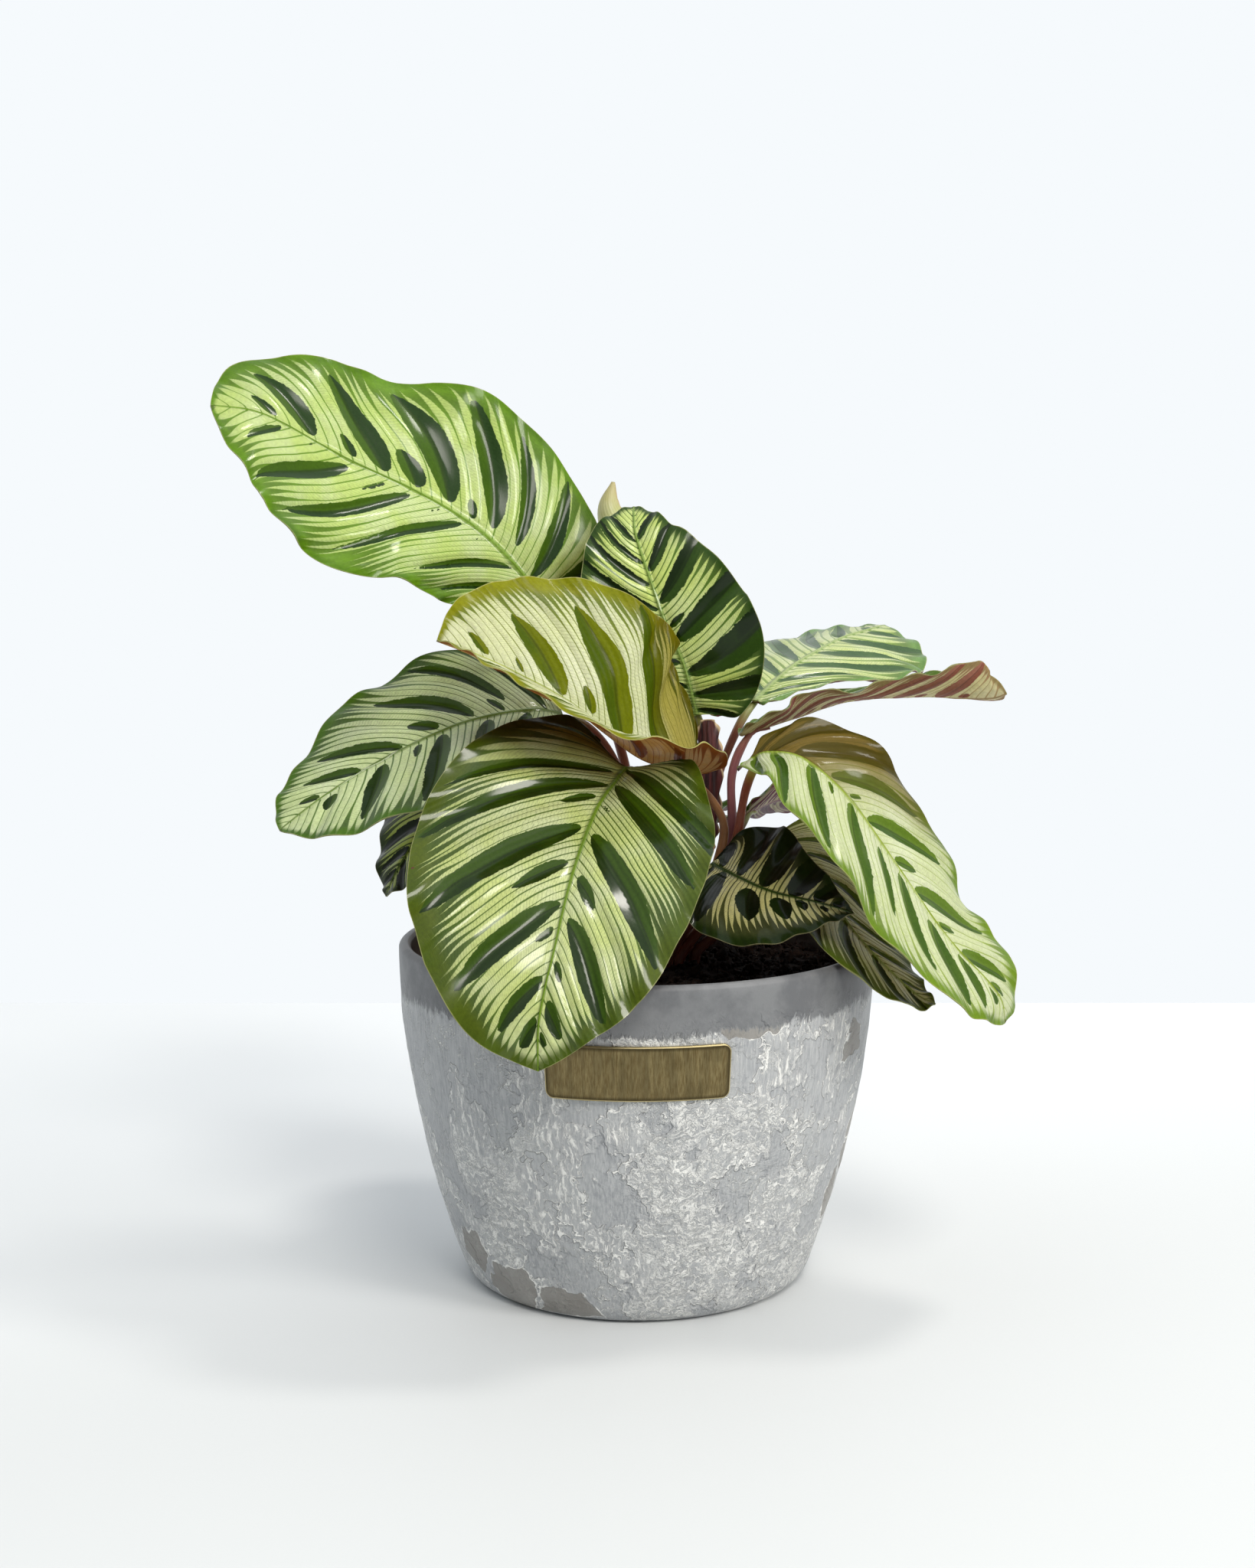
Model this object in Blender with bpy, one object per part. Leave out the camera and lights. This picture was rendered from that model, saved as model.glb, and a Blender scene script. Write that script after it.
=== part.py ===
"""Potted peacock plant: a Goeppertia makoyana in a stone-look planter.

The axis of the pot is Z and its foot stands on z = 0. The front of the pot, with the plate, faces -Y.
Every length is in metres and every angle in degrees.
"""

import math

import bmesh
import bpy
import numpy as np

# Driving dimensions of the planter
RIM_RADIUS = 0.090
POT_HEIGHT = 0.1285
FOOT_RADIUS = 0.0645
WALL_BULGE = 1.91
FOOT_CORNER = 0.0062
WALL = 0.0036
RIM_WIDTH = 0.0046
FLOOR = 0.005
POT_SIDES = 56
NOTCH_WIDTH = 0.010
NOTCH_HEIGHT = 0.001
NOTCH_DEPTH = 0.012

# Driving dimensions of the plate
PLATE_WIDTH = 0.0645
PLATE_HEIGHT = 0.0196
PLATE_CENTRE_Z = 0.0980
PLATE_CORNER = 0.003
PLATE_THICKNESS = 0.0012

# Soil, blades and stalks
SOIL_LEVEL = 0.1145
SOIL_MOUND = 0.0065
SOIL_MOUND_SPREAD = 0.034
CROWN = (0.008, 0.003)
SOIL_BUMP = 0.0012
SOIL_SEED = 7
HOLE_BOTTOM = 0.106
HOLE_RADIUS = 0.003
HOLE_SIDES = 10
BLADE_THICKNESS = 0.0008
STALK_SIDES = 7
STALK_RINGS = 8
STALK_FOOT_RADIUS = 0.0022
STALK_TOP_RADIUS = 0.0016
STALK_SEAT = 0.0025
CLEARANCE = 0.0003

# How far the side veins of a blade sweep forward from the midrib to the margin
VEIN_START = 1.6
VEIN_SWEEP = 1.35

# One entry for each leaf: the midrib from the stalk to the tip, the direction that the upper face looks
# in at even stations along it, the full width, the two half widths at even stations as shares of the
# usual one, the fold of each half up from the midrib and its further bend out to the margin, the waves
# of the margin as (height, waves along the leaf, phase on the left, phase on the right), the outline as
# (broader towards the stalk, base lobes, drawn-out tip, roundness), and the stalk from the soil up.
LEAVES = {
    "top_left": dict(
        midrib=[
            (-0.035, 0.020, 0.251), (-0.045, 0.018, 0.267), (-0.061, 0.013, 0.283), (-0.082, 0.005, 0.296),
            (-0.107, -0.006, 0.308), (-0.134, -0.020, 0.323), (-0.152, -0.028, 0.326),
        ],
        face=[(0.1, -0.85, 0.45), (0.25, -0.8, 0.55), (0.15, -0.7, 0.7)],
        width=0.088,
        left=[0.85, 0.85, 1.02, 1.25, 1.3],
        right=[1.0, 1.12, 1.2, 1.12, 1.0, 1.06, 0.85],
        fold=([12, 10, 5], [12, 10, 0]),
        bend=([0, -12, -15], [0, -12, -15]),
        waves=(0.004, 2.7, 0.1, 0.22),
        outline=(0.0, 0.05, 0.02, 0.8),
        stalk=[(0.004, 0.003), (0.0035, 0.006, 0.150), (-0.008, 0.0155, 0.205), (-0.027, 0.021, 0.237)],
    ),
    "top_centre": dict(
        midrib=[
            (0.023, 0.012, 0.212), (0.018, 0.007, 0.231), (0.011, 0.007, 0.247), (0.006, 0.009, 0.261),
            (0.000, 0.015, 0.279), (-0.001, 0.022, 0.287), (-0.001, 0.028, 0.291),
        ],
        face=[(-0.2, -0.9, 0.2), (-0.1, -0.9, 0.3), (-0.1, -0.7, 0.7)],
        width=0.070,
        left=[1, 0.95, 0.88, 0.78, 0.7],
        right=[1.0, 1.04, 0.88, 0.64, 0.5],
        fold=([15, 12, 5], [15, 12, 5]),
        bend=([0, -12, -15], [0, -12, -15]),
        waves=(0.0015, 3, 0.1, 0.4),
        outline=(0.1, 0.06, 0.03, 0.9),
        stalk=[(0.0105, 0.0015), (0.020, 0.005, 0.138), (0.0272, 0.011, 0.170), (0.0257, 0.0152, 0.200)],
    ),
    "upper_front": dict(
        midrib=[
            (0.0225, -0.002, 0.191), (0.013, -0.0095, 0.194), (0.001, -0.0165, 0.199), (-0.012, -0.023, 0.209),
            (-0.025, -0.028, 0.220), (-0.044, -0.033, 0.231), (-0.061, -0.038, 0.239), (-0.071, -0.042, 0.243),
        ],
        face=[(0.2, -0.6, 0.8), (0, -0.6, 0.8), (0, -0.6, 0.8)],
        width=0.092,
        left=[0.75, 0.9, 0.9, 0.9, 1],
        right=[1.4, 1.15, 1.1, 1.05, 1.05],
        fold=([50, 56, 52, 44, 40, 40, 40], [35, 35, 30, 25]),
        bend=([10, 0, -10, -15], [0, -12, -15]),
        waves=(0.001, 3, 0.1, 0.4),
        outline=(0.05, 0.02, 0.02, 0.85),
        stalk=[(0.0095, -0.0055), (0.021, -0.0055, 0.136), (0.0305, -0.0052, 0.158), (0.032, -0.005, 0.175)],
    ),
    "front": dict(
        midrib=[
            (-0.004, -0.025, 0.196), (-0.014, -0.048, 0.184), (-0.021, -0.068, 0.168), (-0.025, -0.083, 0.155),
            (-0.028, -0.093, 0.142), (-0.031, -0.100, 0.130), (-0.033, -0.105, 0.118), (-0.033, -0.108, 0.104),
        ],
        face=[(0, -0.6, 0.8), (0, -0.8, 0.5), (0, -1, 0.1)],
        width=0.112,
        left=[1, 0.9, 0.8, 0.81, 0.95],
        right=[1, 1, 1, 1.06, 1],
        fold=([15, 10, 5], [20, 13, 10, 5]),
        bend=([0, -12, -15], [30, 0, -12, -15]),
        waves=(0.0015, 3, 0.1, 0.4),
        outline=(0.12, 0.08, 0.05, 1),
        stalk=[(0.005, -0.011), (0.008, -0.011, 0.145), (0.003, -0.010, 0.180), (-0.001, -0.015, 0.193)],
    ),
    "left": dict(
        midrib=[
            (-0.028, 0.002, 0.213), (-0.040, -0.004, 0.215), (-0.064, -0.012, 0.211), (-0.090, -0.024, 0.200),
            (-0.112, -0.035, 0.187), (-0.128, -0.042, 0.175),
        ],
        face=[(-0.1, -0.55, 0.8), (-0.2, -0.6, 0.77), (-0.3, -0.6, 0.7)],
        width=0.078,
        left=[0.3, 0.6, 0.95, 1, 1],
        right=[1, 1, 1, 0.8, 0.95],
        fold=([12, 10, 5], [12, 10, 5]),
        bend=([0, -12, -15], [0, -12, -15]),
        waves=(0.0025, 3, 0.1, 0.4),
        outline=(0.1, 0.05, 0.03, 0.9),
        stalk=[(0.003, -0.004), (0.002, -0.003, 0.150), (-0.006, 0.000, 0.190), (-0.018, 0.002, 0.208)],
    ),
    "low_left": dict(
        midrib=[
            (-0.032, 0.005, 0.198), (-0.052, 0.000, 0.198), (-0.068, -0.006, 0.189), (-0.080, -0.012, 0.171),
            (-0.089, -0.016, 0.156), (-0.093, -0.018, 0.147),
        ],
        face=[(-0.1, -0.5, 0.8), (-0.5, -0.6, 0.6), (-0.8, -0.5, 0.3)],
        width=0.062,
        left=[1, 1],
        right=[1, 1],
        fold=([12, 10, 5], [12, 10, 5]),
        bend=([0, -12, -15], [0, -12, -15]),
        waves=(0.002, 3, 0.1, 0.4),
        outline=(0.1, 0.05, 0.05, 1),
        stalk=[(-0.0025, 0.0015), (-0.006, 0.003, 0.150), (-0.016, 0.007, 0.183), (-0.025, 0.007, 0.195)],
    ),
    "right": dict(
        midrib=[
            (0.042, -0.015, 0.198), (0.049, -0.021, 0.201), (0.061, -0.028, 0.199), (0.076, -0.037, 0.186),
            (0.091, -0.044, 0.165), (0.110, -0.050, 0.138), (0.128, -0.052, 0.118), (0.131, -0.052, 0.107),
        ],
        face=[(0, -0.5, 0.85), (0.45, -0.4, 0.75), (0.7, -0.42, 0.5)],
        width=0.074,
        left=[0.7, 0.8, 1, 1.2, 1.2],
        right=[0.8, 0.85, 0.95, 1.15, 1.3],
        fold=([12, 10, 5], [12, 10, 5]),
        bend=([0, -20, -15], [0, -20, -15]),
        waves=(0.002, 3, 0.6, 0.9),
        outline=(0.1, 0.01, 0.02, 0.85),
        stalk=[(0.016, -0.007), (0.028, -0.0008, 0.138), (0.0368, -0.0030, 0.163), (0.0408, -0.0085, 0.186)],
    ),
    "back_right": dict(
        midrib=[
            (0.046, 0.032, 0.216), (0.062, 0.060, 0.227), (0.076, 0.085, 0.233), (0.088, 0.107, 0.237),
            (0.104, 0.130, 0.240), (0.110, 0.140, 0.241),
        ],
        face=[(0.3, -0.25, 0.93), (0.3, -0.25, 0.93), (0.35, -0.2, 0.93)],
        width=0.084,
        left=[1, 1, 0.9, 0.9, 1],
        right=[0.25, 0.4, 0.85, 1.1, 1.1],
        fold=([-12, -18, -22], [12, 10, 5]),
        bend=([0, -15, -10], [0, -12, -15]),
        waves=(0.0025, 3, 0.5, 0.4),
        outline=(0.05, 0.03, 0.03, 0.85),
        stalk=[(0.0125, 0.0085), (0.020, 0.014, 0.145), (0.030, 0.027, 0.180), (0.040, 0.031, 0.206)],
    ),
    "rolled_right": dict(
        midrib=[
            (0.039, 0.008, 0.205), (0.052, 0.010, 0.209), (0.062, 0.011, 0.212), (0.081, 0.009, 0.218),
            (0.107, 0.002, 0.220), (0.130, -0.008, 0.220), (0.137, -0.011, 0.222),
        ],
        face=[(0, 0.35, 0.94), (0, 0.35, 0.94), (0, 0.35, 0.94), (0, 0.5, 0.85), (0.1, 0.95, 0.3)],
        width=0.044,
        left=[1, 1],
        right=[1, 1, 0.9, 1.1, 1.9],
        fold=([20, 20, 25, 45, 60], [0, 0, -8, 0, 0]),
        bend=([10, 10], [10, 10]),
        waves=(0.0015, 3, 0.1, 0.4),
        outline=(0.0, 0.0, 0.03, 0.8),
        stalk=[(0.017, 0.000), (0.0295, 0.0035, 0.142), (0.036, 0.0045, 0.166), (0.0363, 0.006, 0.190)],
    ),
    "low_front_right": dict(
        midrib=[
            (0.028, -0.010, 0.158), (0.038, -0.026, 0.155), (0.049, -0.038, 0.152), (0.064, -0.048, 0.150),
            (0.077, -0.054, 0.147),
        ],
        face=[(0, -0.85, 0.5), (0.1, -0.8, 0.55), (0.2, -0.75, 0.6)],
        width=0.062,
        left=[1.0, 0.95, 0.75, 0.62, 0.5],
        right=[0.65, 0.84, 0.91, 0.85, 0.6],
        fold=([12, 10, 5], [12, 10, 5]),
        bend=([0, -12, -15], [0, -12, -15]),
        waves=(0.001, 3, 0.1, 0.4),
        outline=(0.2, 0.03, 0.09, 1),
        stalk=[(0.0115, -0.012), (0.019, -0.011, 0.135), (0.0255, -0.0095, 0.150)],
    ),
    "low_right": dict(
        midrib=[
            (0.046, 0.012, 0.160), (0.059, -0.002, 0.163), (0.069, -0.019, 0.154), (0.075, -0.031, 0.142),
            (0.085, -0.042, 0.130), (0.099, -0.047, 0.117), (0.107, -0.048, 0.113),
        ],
        face=[(0.2, -0.4, 0.9), (0.5, -0.35, 0.8), (0.7, -0.35, 0.5)],
        width=0.060,
        left=[1.4, 1.25, 1, 1],
        right=[0.3, 0.6, 0.85, 1],
        fold=([12, 10, 5], [-25, -20, 0, 5]),
        bend=([0, -20, -15], [0, -20, -15]),
        waves=(0.001, 3, 0.1, 0.4),
        outline=(0.1, 0.04, 0.04, 1),
        stalk=[(0.022, -0.004), (0.0245, -0.003, 0.125), (0.035, 0.004, 0.133), (0.0435, 0.0135, 0.1465)],
    ),
    "low_back_right": dict(
        midrib=[
            (0.040, 0.015, 0.173), (0.046, 0.026, 0.174), (0.056, 0.040, 0.176), (0.071, 0.052, 0.177),
            (0.085, 0.060, 0.178),
        ],
        face=[(0, 0.75, 0.66), (0, 0.75, 0.66)],
        width=0.050,
        left=[1, 1],
        right=[1, 1],
        fold=([12, 10, 5], [12, 10, 5]),
        bend=([10, 20, 15], [10, 20, 15]),
        waves=(0.001, 3, 0.1, 0.4),
        outline=(0.1, 0.04, 0.04, 1),
        stalk=[(0.019, 0.006), (0.028, 0.009, 0.140), (0.036, 0.0115, 0.160)],
    ),
    "back_left": dict(
        midrib=[(0.000, 0.040, 0.177), (-0.020, 0.060, 0.180), (-0.042, 0.078, 0.168), (-0.060, 0.092, 0.148)],
        face=[(-0.2, 0.4, 0.9), (-0.3, 0.5, 0.8)],
        width=0.062,
        left=[1, 1],
        right=[1, 1],
        fold=([12, 10, 5], [12, 10, 5]),
        bend=([0, -15], [0, -15]),
        waves=(0.002, 3, 0.1, 0.6),
        outline=(0.1, 0.05, 0.04, 0.9),
        stalk=[(-0.001, 0.009), (-0.001, 0.015, 0.145), (-0.001, 0.030, 0.170)],
    ),
    "low_back": dict(
        midrib=[(0.017, 0.046, 0.166), (0.013, 0.070, 0.169), (0.008, 0.094, 0.158), (0.004, 0.112, 0.136)],
        face=[(0, 0.3, 0.95), (0, 0.8, 0.6)],
        width=0.056,
        left=[1, 1],
        right=[1, 1],
        fold=([12, 10, 5], [12, 10, 5]),
        bend=([0, -15], [0, -15]),
        waves=(0.002, 3, 0.3, 0.7),
        outline=(0.1, 0.05, 0.04, 0.9),
        stalk=[(0.009, 0.0155), (0.011, 0.022, 0.140), (0.016, 0.037, 0.160)],
    ),
}

# The short sheath that clasps the stalks at the crown, shaped like a small curled blade
SHEATH = dict(
    midrib=[(0.0260, 0.0062, 0.160), (0.0275, 0.0052, 0.188), (0.027, 0.0055, 0.211)],
    face=[(0, -1, 0), (0, -1, 0)],
    width=0.0125,
    left=[1, 1],
    right=[1, 1],
    fold=([0, 0], [0, 0]),
    bend=([-70, -70], [-70, -70]),
    waves=(0, 1, 0, 0),
    outline=(0, 0, 0, 0.5),
)

# The young leaf is still rolled up: its stalk, then the roll as (point, radius) up to its tip
YOUNG_STALK = [(0.006, 0.0095), (0.008, 0.016, 0.155), (0.011, 0.026, 0.200), (0.0122, 0.030, 0.218)]
YOUNG_STALK_END = (0.0123, 0.0304, 0.2198)
YOUNG_ROLL = [
    ((0.0120, 0.0305, 0.2205), 0.0020),
    ((0.0030, 0.0360, 0.2480), 0.0042),
    ((-0.0060, 0.0400, 0.2770), 0.0062),
    ((-0.0105, 0.0420, 0.2900), 0.0050),
    ((-0.0090, 0.0430, 0.3010), 0.0008),
]
ROLL_RINGS = 9

# Colour, roughness and metallic value of each material
MATERIALS = {
    "stone": ((0.42, 0.43, 0.44), 0.65, 0.0),
    "brass": ((0.48, 0.37, 0.18), 0.35, 1.0),
    "soil": ((0.03, 0.02, 0.015), 0.95, 0.0),
    "leaf": ((0.30, 0.45, 0.12), 0.35, 0.0),
    "stalk": ((0.28, 0.09, 0.05), 0.40, 0.0),
    "sheath": ((0.12, 0.03, 0.03), 0.45, 0.0),
    "young": ((0.62, 0.66, 0.34), 0.40, 0.0),
}


def material(name):
    """The named material, made once."""
    found = bpy.data.materials.get(name)
    if found:
        return found
    colour, roughness, metallic = MATERIALS[name]
    made = bpy.data.materials.new(name)
    made.use_nodes = True
    shader = made.node_tree.nodes["Principled BSDF"]
    shader.inputs["Base Color"].default_value = (*colour, 1)
    shader.inputs["Roughness"].default_value = roughness
    shader.inputs["Metallic"].default_value = metallic
    return made


def add_object(name, points, faces, finish, sharp=40):
    """A new object of these points and faces, shaded smooth, with its faces turned outwards."""
    mesh = bpy.data.meshes.new(name)
    mesh.from_pydata([tuple(map(float, point)) for point in points], [], faces)
    shape = bmesh.new()
    shape.from_mesh(mesh)
    bmesh.ops.recalc_face_normals(shape, faces=shape.faces)
    shape.to_mesh(mesh)
    shape.free()
    mesh.shade_smooth()
    mesh.set_sharp_from_angle(angle=math.radians(sharp))
    mesh.materials.append(material(finish))
    obj = bpy.data.objects.new(name, mesh)
    bpy.context.scene.collection.objects.link(obj)
    return obj


def cut(target, cutter):
    """Cuts the cutter from the target and removes it."""
    boolean = target.modifiers.new("cut", "BOOLEAN")
    boolean.operation = "DIFFERENCE"
    boolean.solver = "EXACT"
    boolean.object = cutter
    bpy.context.view_layer.objects.active = target
    bpy.ops.object.modifier_apply(modifier=boolean.name)
    bpy.data.objects.remove(cutter)


def smooth_curve(points, steps=24):
    """Points along a Catmull-Rom curve through the given ones."""
    p = np.array(points, float)
    p = np.vstack([2 * p[0] - p[1], p, 2 * p[-1] - p[-2]])
    t = np.linspace(0, 1, steps, endpoint=False)[:, None]
    curve = []
    for a, b, c, d in zip(p, p[1:], p[2:], p[3:]):
        curve.append(0.5 * (2 * b + (c - a) * t + (2 * a - 5 * b + 4 * c - d) * t**2 + (3 * b - a - 3 * c + d) * t**3))
    return np.vstack([*curve, p[-2:-1]])


def at_stations(values, where):
    """Smooth values between even stations, at shares from 0 to 1 of the way."""
    v = np.array(values, float).reshape(len(values), -1)
    v = np.vstack([2 * v[0] - v[1], v, 2 * v[-1] - v[-2]])
    place = np.clip(where, 0, 1) * (len(v) - 3)
    first = np.clip(place.astype(int), 0, len(v) - 4)
    t = (place - first)[:, None]
    a, b, c, d = v[first], v[first + 1], v[first + 2], v[first + 3]
    return 0.5 * (2 * b + (c - a) * t + (2 * a - 5 * b + 4 * c - d) * t**2 + (3 * b - a - 3 * c + d) * t**3)


def unit(vectors):
    return vectors / np.linalg.norm(vectors, axis=-1, keepdims=True)


def flat_outline(row, outline):
    """Where a side vein that starts at this row ends: its share of the length, and of the half width."""
    broad, lobes, tip, roundness = outline
    along = (1 - np.cos(np.pi * row)) / 2 * (1 - tip) + tip * row**9
    along = along - lobes * np.exp(-(((row - 0.13) / 0.08) ** 2)) * (1 - np.exp(-((row / 0.05) ** 2)))
    out = np.clip(np.sin(np.pi * row), 0, 1) ** roundness * (1 + broad * np.cos(np.pi * row))
    return along, out


def blade_points(leaf, rows, columns):
    """Points of the blade's middle surface, by row from the stalk to the tip and column from left to right."""
    curve = smooth_curve(leaf["midrib"])
    steps = np.linalg.norm(np.diff(curve, axis=0), axis=1)
    run = np.concatenate([[0], np.cumsum(steps)])
    length = run[-1]
    half = leaf["width"] / 2
    even = np.linspace(0, length, 160)
    rib = np.stack([np.interp(even, run, curve[:, k]) for k in range(3)], -1)
    along = unit(np.gradient(rib, axis=0))
    face = at_stations(leaf["face"], even / length)
    up = unit(face - (face * along).sum(1)[:, None] * along)
    side = np.cross(along, up)

    row, column = np.meshgrid(rows, columns, indexing="ij")
    spread = np.abs(column)
    end, out = flat_outline(row, leaf["outline"])
    share = np.where(
        column < 0,
        at_stations(leaf["left"], row.ravel())[:, 0].reshape(row.shape),
        at_stations(leaf["right"], row.ravel())[:, 0].reshape(row.shape),
    )
    start = row**VEIN_START
    reach = (start + (end - start) * spread**VEIN_SWEEP) * length
    across = out * spread * half * share
    place = np.clip(reach / length, 0, 1)

    def on_rib(values):
        return np.stack([np.interp(reach, even, values[:, k]) for k in range(3)], -1)

    def on_side(pair):
        left, right = [at_stations(values, place.ravel())[:, 0].reshape(row.shape) for values in pair]
        return np.radians(np.where(column < 0, left, right))

    points = on_rib(rib) + on_rib(along) * (reach - place * length)[..., None]
    fold = on_side(leaf["fold"])
    bend = on_side(leaf["bend"]) / half
    bend = np.where(np.abs(bend) < 1e-3, 1e-3, bend)
    turned = fold + bend * across
    outward = (np.sin(turned) - np.sin(fold)) / bend
    upward = (np.cos(fold) - np.cos(turned)) / bend
    height, count, left_phase, right_phase = leaf["waves"]
    phase = count * place + np.where(column < 0, left_phase, right_phase)
    wave = height * (across / half) ** 2 * np.sin(2 * np.pi * phase)
    outward = outward - wave * np.sin(turned)
    upward = upward + wave * np.cos(turned)
    points = points + unit(on_rib(side)) * (np.sign(column) * outward)[..., None]
    return points + unit(on_rib(up)) * upward[..., None]


def thick_sheet(grid, thickness):
    """Points and triangles of a closed sheet round a grid whose first and last rows each meet in a point."""
    down = np.gradient(grid, axis=0)
    right = np.gradient(grid, axis=1)
    normal = np.cross(down[1:-1], right[1:-1])
    middle = grid.shape[1] // 2
    normal = unit(normal)
    base_normal = normal[0, middle]
    tip_normal = normal[-1, middle]
    rows, columns = normal.shape[:2]
    points = []
    for offset in (-thickness / 2, thickness / 2):
        points.extend((grid[1:-1] + normal * offset).reshape(-1, 3))
        points.append(grid[0, 0] + base_normal * offset)
        points.append(grid[-1, 0] + tip_normal * offset)
    each = rows * columns + 2
    base = rows * columns
    tip = base + 1
    faces = []
    for r in range(rows - 1):
        for c in range(columns - 1):
            a = r * columns + c
            b, d, e = a + 1, a + columns, a + columns + 1
            faces += [(a, b, e), (a, e, d)] if c < columns // 2 else [(a, b, d), (b, e, d)]
    last = (rows - 1) * columns
    for c in range(columns - 1):
        faces.append((base, c + 1, c))
        faces.append((tip, last + c, last + c + 1))
    faces += [(a + each, c + each, b + each) for a, b, c in faces]
    rim = [base] + [r * columns for r in range(rows)] + [tip]
    rim += [r * columns + columns - 1 for r in reversed(range(rows))]
    for a, b in zip(rim, rim[1:] + rim[:1]):
        faces += [(a, b, b + each), (a, b + each, a + each)]
    return points, faces


def add_blade(name, leaf, rows, columns, finish):
    grid = blade_points(leaf, np.linspace(0, 1, rows), np.linspace(-1, 1, columns))
    points, faces = thick_sheet(grid, BLADE_THICKNESS)
    return add_object(name, points, faces, finish, sharp=60)


def add_tube(name, path, radii, sides, finish):
    """A closed tube along the path, with its own radius at each point."""
    path = np.array(path, float)
    along = unit(np.gradient(path, axis=0))
    side = unit(np.cross(along[0], (0.3, 1, 0.2)))
    rings = []
    for point, direction, radius in zip(path, along, radii):
        side = unit(side - direction * side.dot(direction))
        other = np.cross(direction, side)
        angles = np.arange(sides) * 2 * math.pi / sides
        rings.append(point + radius * (np.cos(angles)[:, None] * side + np.sin(angles)[:, None] * other))
    points = list(np.vstack(rings))
    faces = []
    for ring in range(len(path) - 1):
        for k in range(sides):
            a = ring * sides + k
            b = ring * sides + (k + 1) % sides
            faces.append((a, b, b + sides, a + sides))
    faces.append(tuple(reversed(range(sides))))
    faces.append(tuple(range((len(path) - 1) * sides, len(path) * sides)))
    return add_object(name, points, faces, finish, sharp=50)


def even_points(curve, count):
    """Points at even distances along a fine curve."""
    run = np.concatenate([[0], np.cumsum(np.linalg.norm(np.diff(curve, axis=0), axis=1))])
    where = np.linspace(0, run[-1], count)
    return np.stack([np.interp(where, run, curve[:, k]) for k in range(3)], -1)


def soil_height(x, y):
    """The soil rises a little towards the crown."""
    away = math.hypot(x - CROWN[0], y - CROWN[1])
    return SOIL_LEVEL + SOIL_MOUND * math.exp(-((away / SOIL_MOUND_SPREAD) ** 2))


def stalk_end(leaf):
    """Where a stalk ends: just under the blade, a little way in from its base."""
    base, following = np.array(leaf["midrib"][:2])
    along = unit(following - base)
    up = np.array(leaf["face"][0]) - along * along.dot(leaf["face"][0])
    up = unit(up)
    seat = base + along * STALK_SEAT
    rise = unit(seat - leaf["stalk"][-1]).dot(up)
    room = STALK_TOP_RADIUS * math.sqrt(1 - rise**2) + BLADE_THICKNESS / 2 + 1.7 * CLEARANCE
    return seat - up * room


def stalk_curve(stalk, end):
    """The stalk's centre line, straight up out of its hole and then out to its end."""
    (x, y), *upper = stalk
    foot = [(x, y, HOLE_BOTTOM + CLEARANCE), (x, y, soil_height(x, y) + 0.001)]
    return smooth_curve(foot + upper + [tuple(end)])


def add_stalk(name, stalk, end):
    path = even_points(stalk_curve(stalk, end), STALK_RINGS)
    radii = np.linspace(STALK_FOOT_RADIUS, STALK_TOP_RADIUS, STALK_RINGS)
    return add_tube(name, path, radii, STALK_SIDES, "stalk")


def wall_radius(z):
    """Outer radius of the pot at this height: a bulging taper, with a rounded corner at the foot."""
    radius = FOOT_RADIUS + (RIM_RADIUS - FOOT_RADIUS) * (1 - (1 - z / POT_HEIGHT) ** WALL_BULGE)
    if z < FOOT_CORNER:
        radius -= 0.8 * (FOOT_CORNER - math.sqrt(FOOT_CORNER**2 - (FOOT_CORNER - z) ** 2))
    return radius


def turned(profile, sides):
    """Points and faces of a solid turned round Z from (radius, height) pairs that start and end on the axis."""
    points = [(0, 0, profile[0][1]), (0, 0, profile[-1][1])]
    for radius, z in profile[1:-1]:
        for k in range(sides):
            angle = 2 * math.pi * k / sides
            points.append((radius * math.cos(angle), radius * math.sin(angle), z))
    faces = []
    rings = len(profile) - 2
    for k in range(sides):
        following = (k + 1) % sides
        faces.append((0, 2 + following, 2 + k))
        for ring in range(rings - 1):
            a = 2 + ring * sides
            faces.append((a + k, a + following, a + sides + following, a + sides + k))
        top = 2 + (rings - 1) * sides
        faces.append((1, top + k, top + following))
    return points, faces


def pot_profile():
    """The pot's outline from the middle of its underside, up the outside, over the rim and down inside."""
    outside = [(wall_radius(z), z) for z in (0, 0.0007, 0.0022, 0.0062, 0.018, 0.036, 0.058, 0.082, 0.106, 0.1245)]
    lip = RIM_WIDTH / 2
    middle = RIM_RADIUS - lip
    rounded = [(middle + lip * math.cos(a), POT_HEIGHT - lip + lip * math.sin(a)) for a in (0.3, 0.9, 1.57, 2.3, 2.9)]
    heights = (0.120, 0.095, 0.060, 0.025, FLOOR)
    inside = [(wall_radius(z) - WALL, z) for z in heights]
    return [(0, 0), *outside, *rounded, *inside, (0, FLOOR)]


def add_pot():
    pot = add_object("pot", *turned(pot_profile(), POT_SIDES), "stone", sharp=50)
    bpy.ops.mesh.primitive_cube_add(size=1, location=(0, -FOOT_RADIUS, 0))
    notch = bpy.context.object
    notch.scale = (NOTCH_WIDTH, 2 * NOTCH_DEPTH, 2 * NOTCH_HEIGHT)
    bpy.context.view_layer.update()
    cut(pot, notch)


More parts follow.
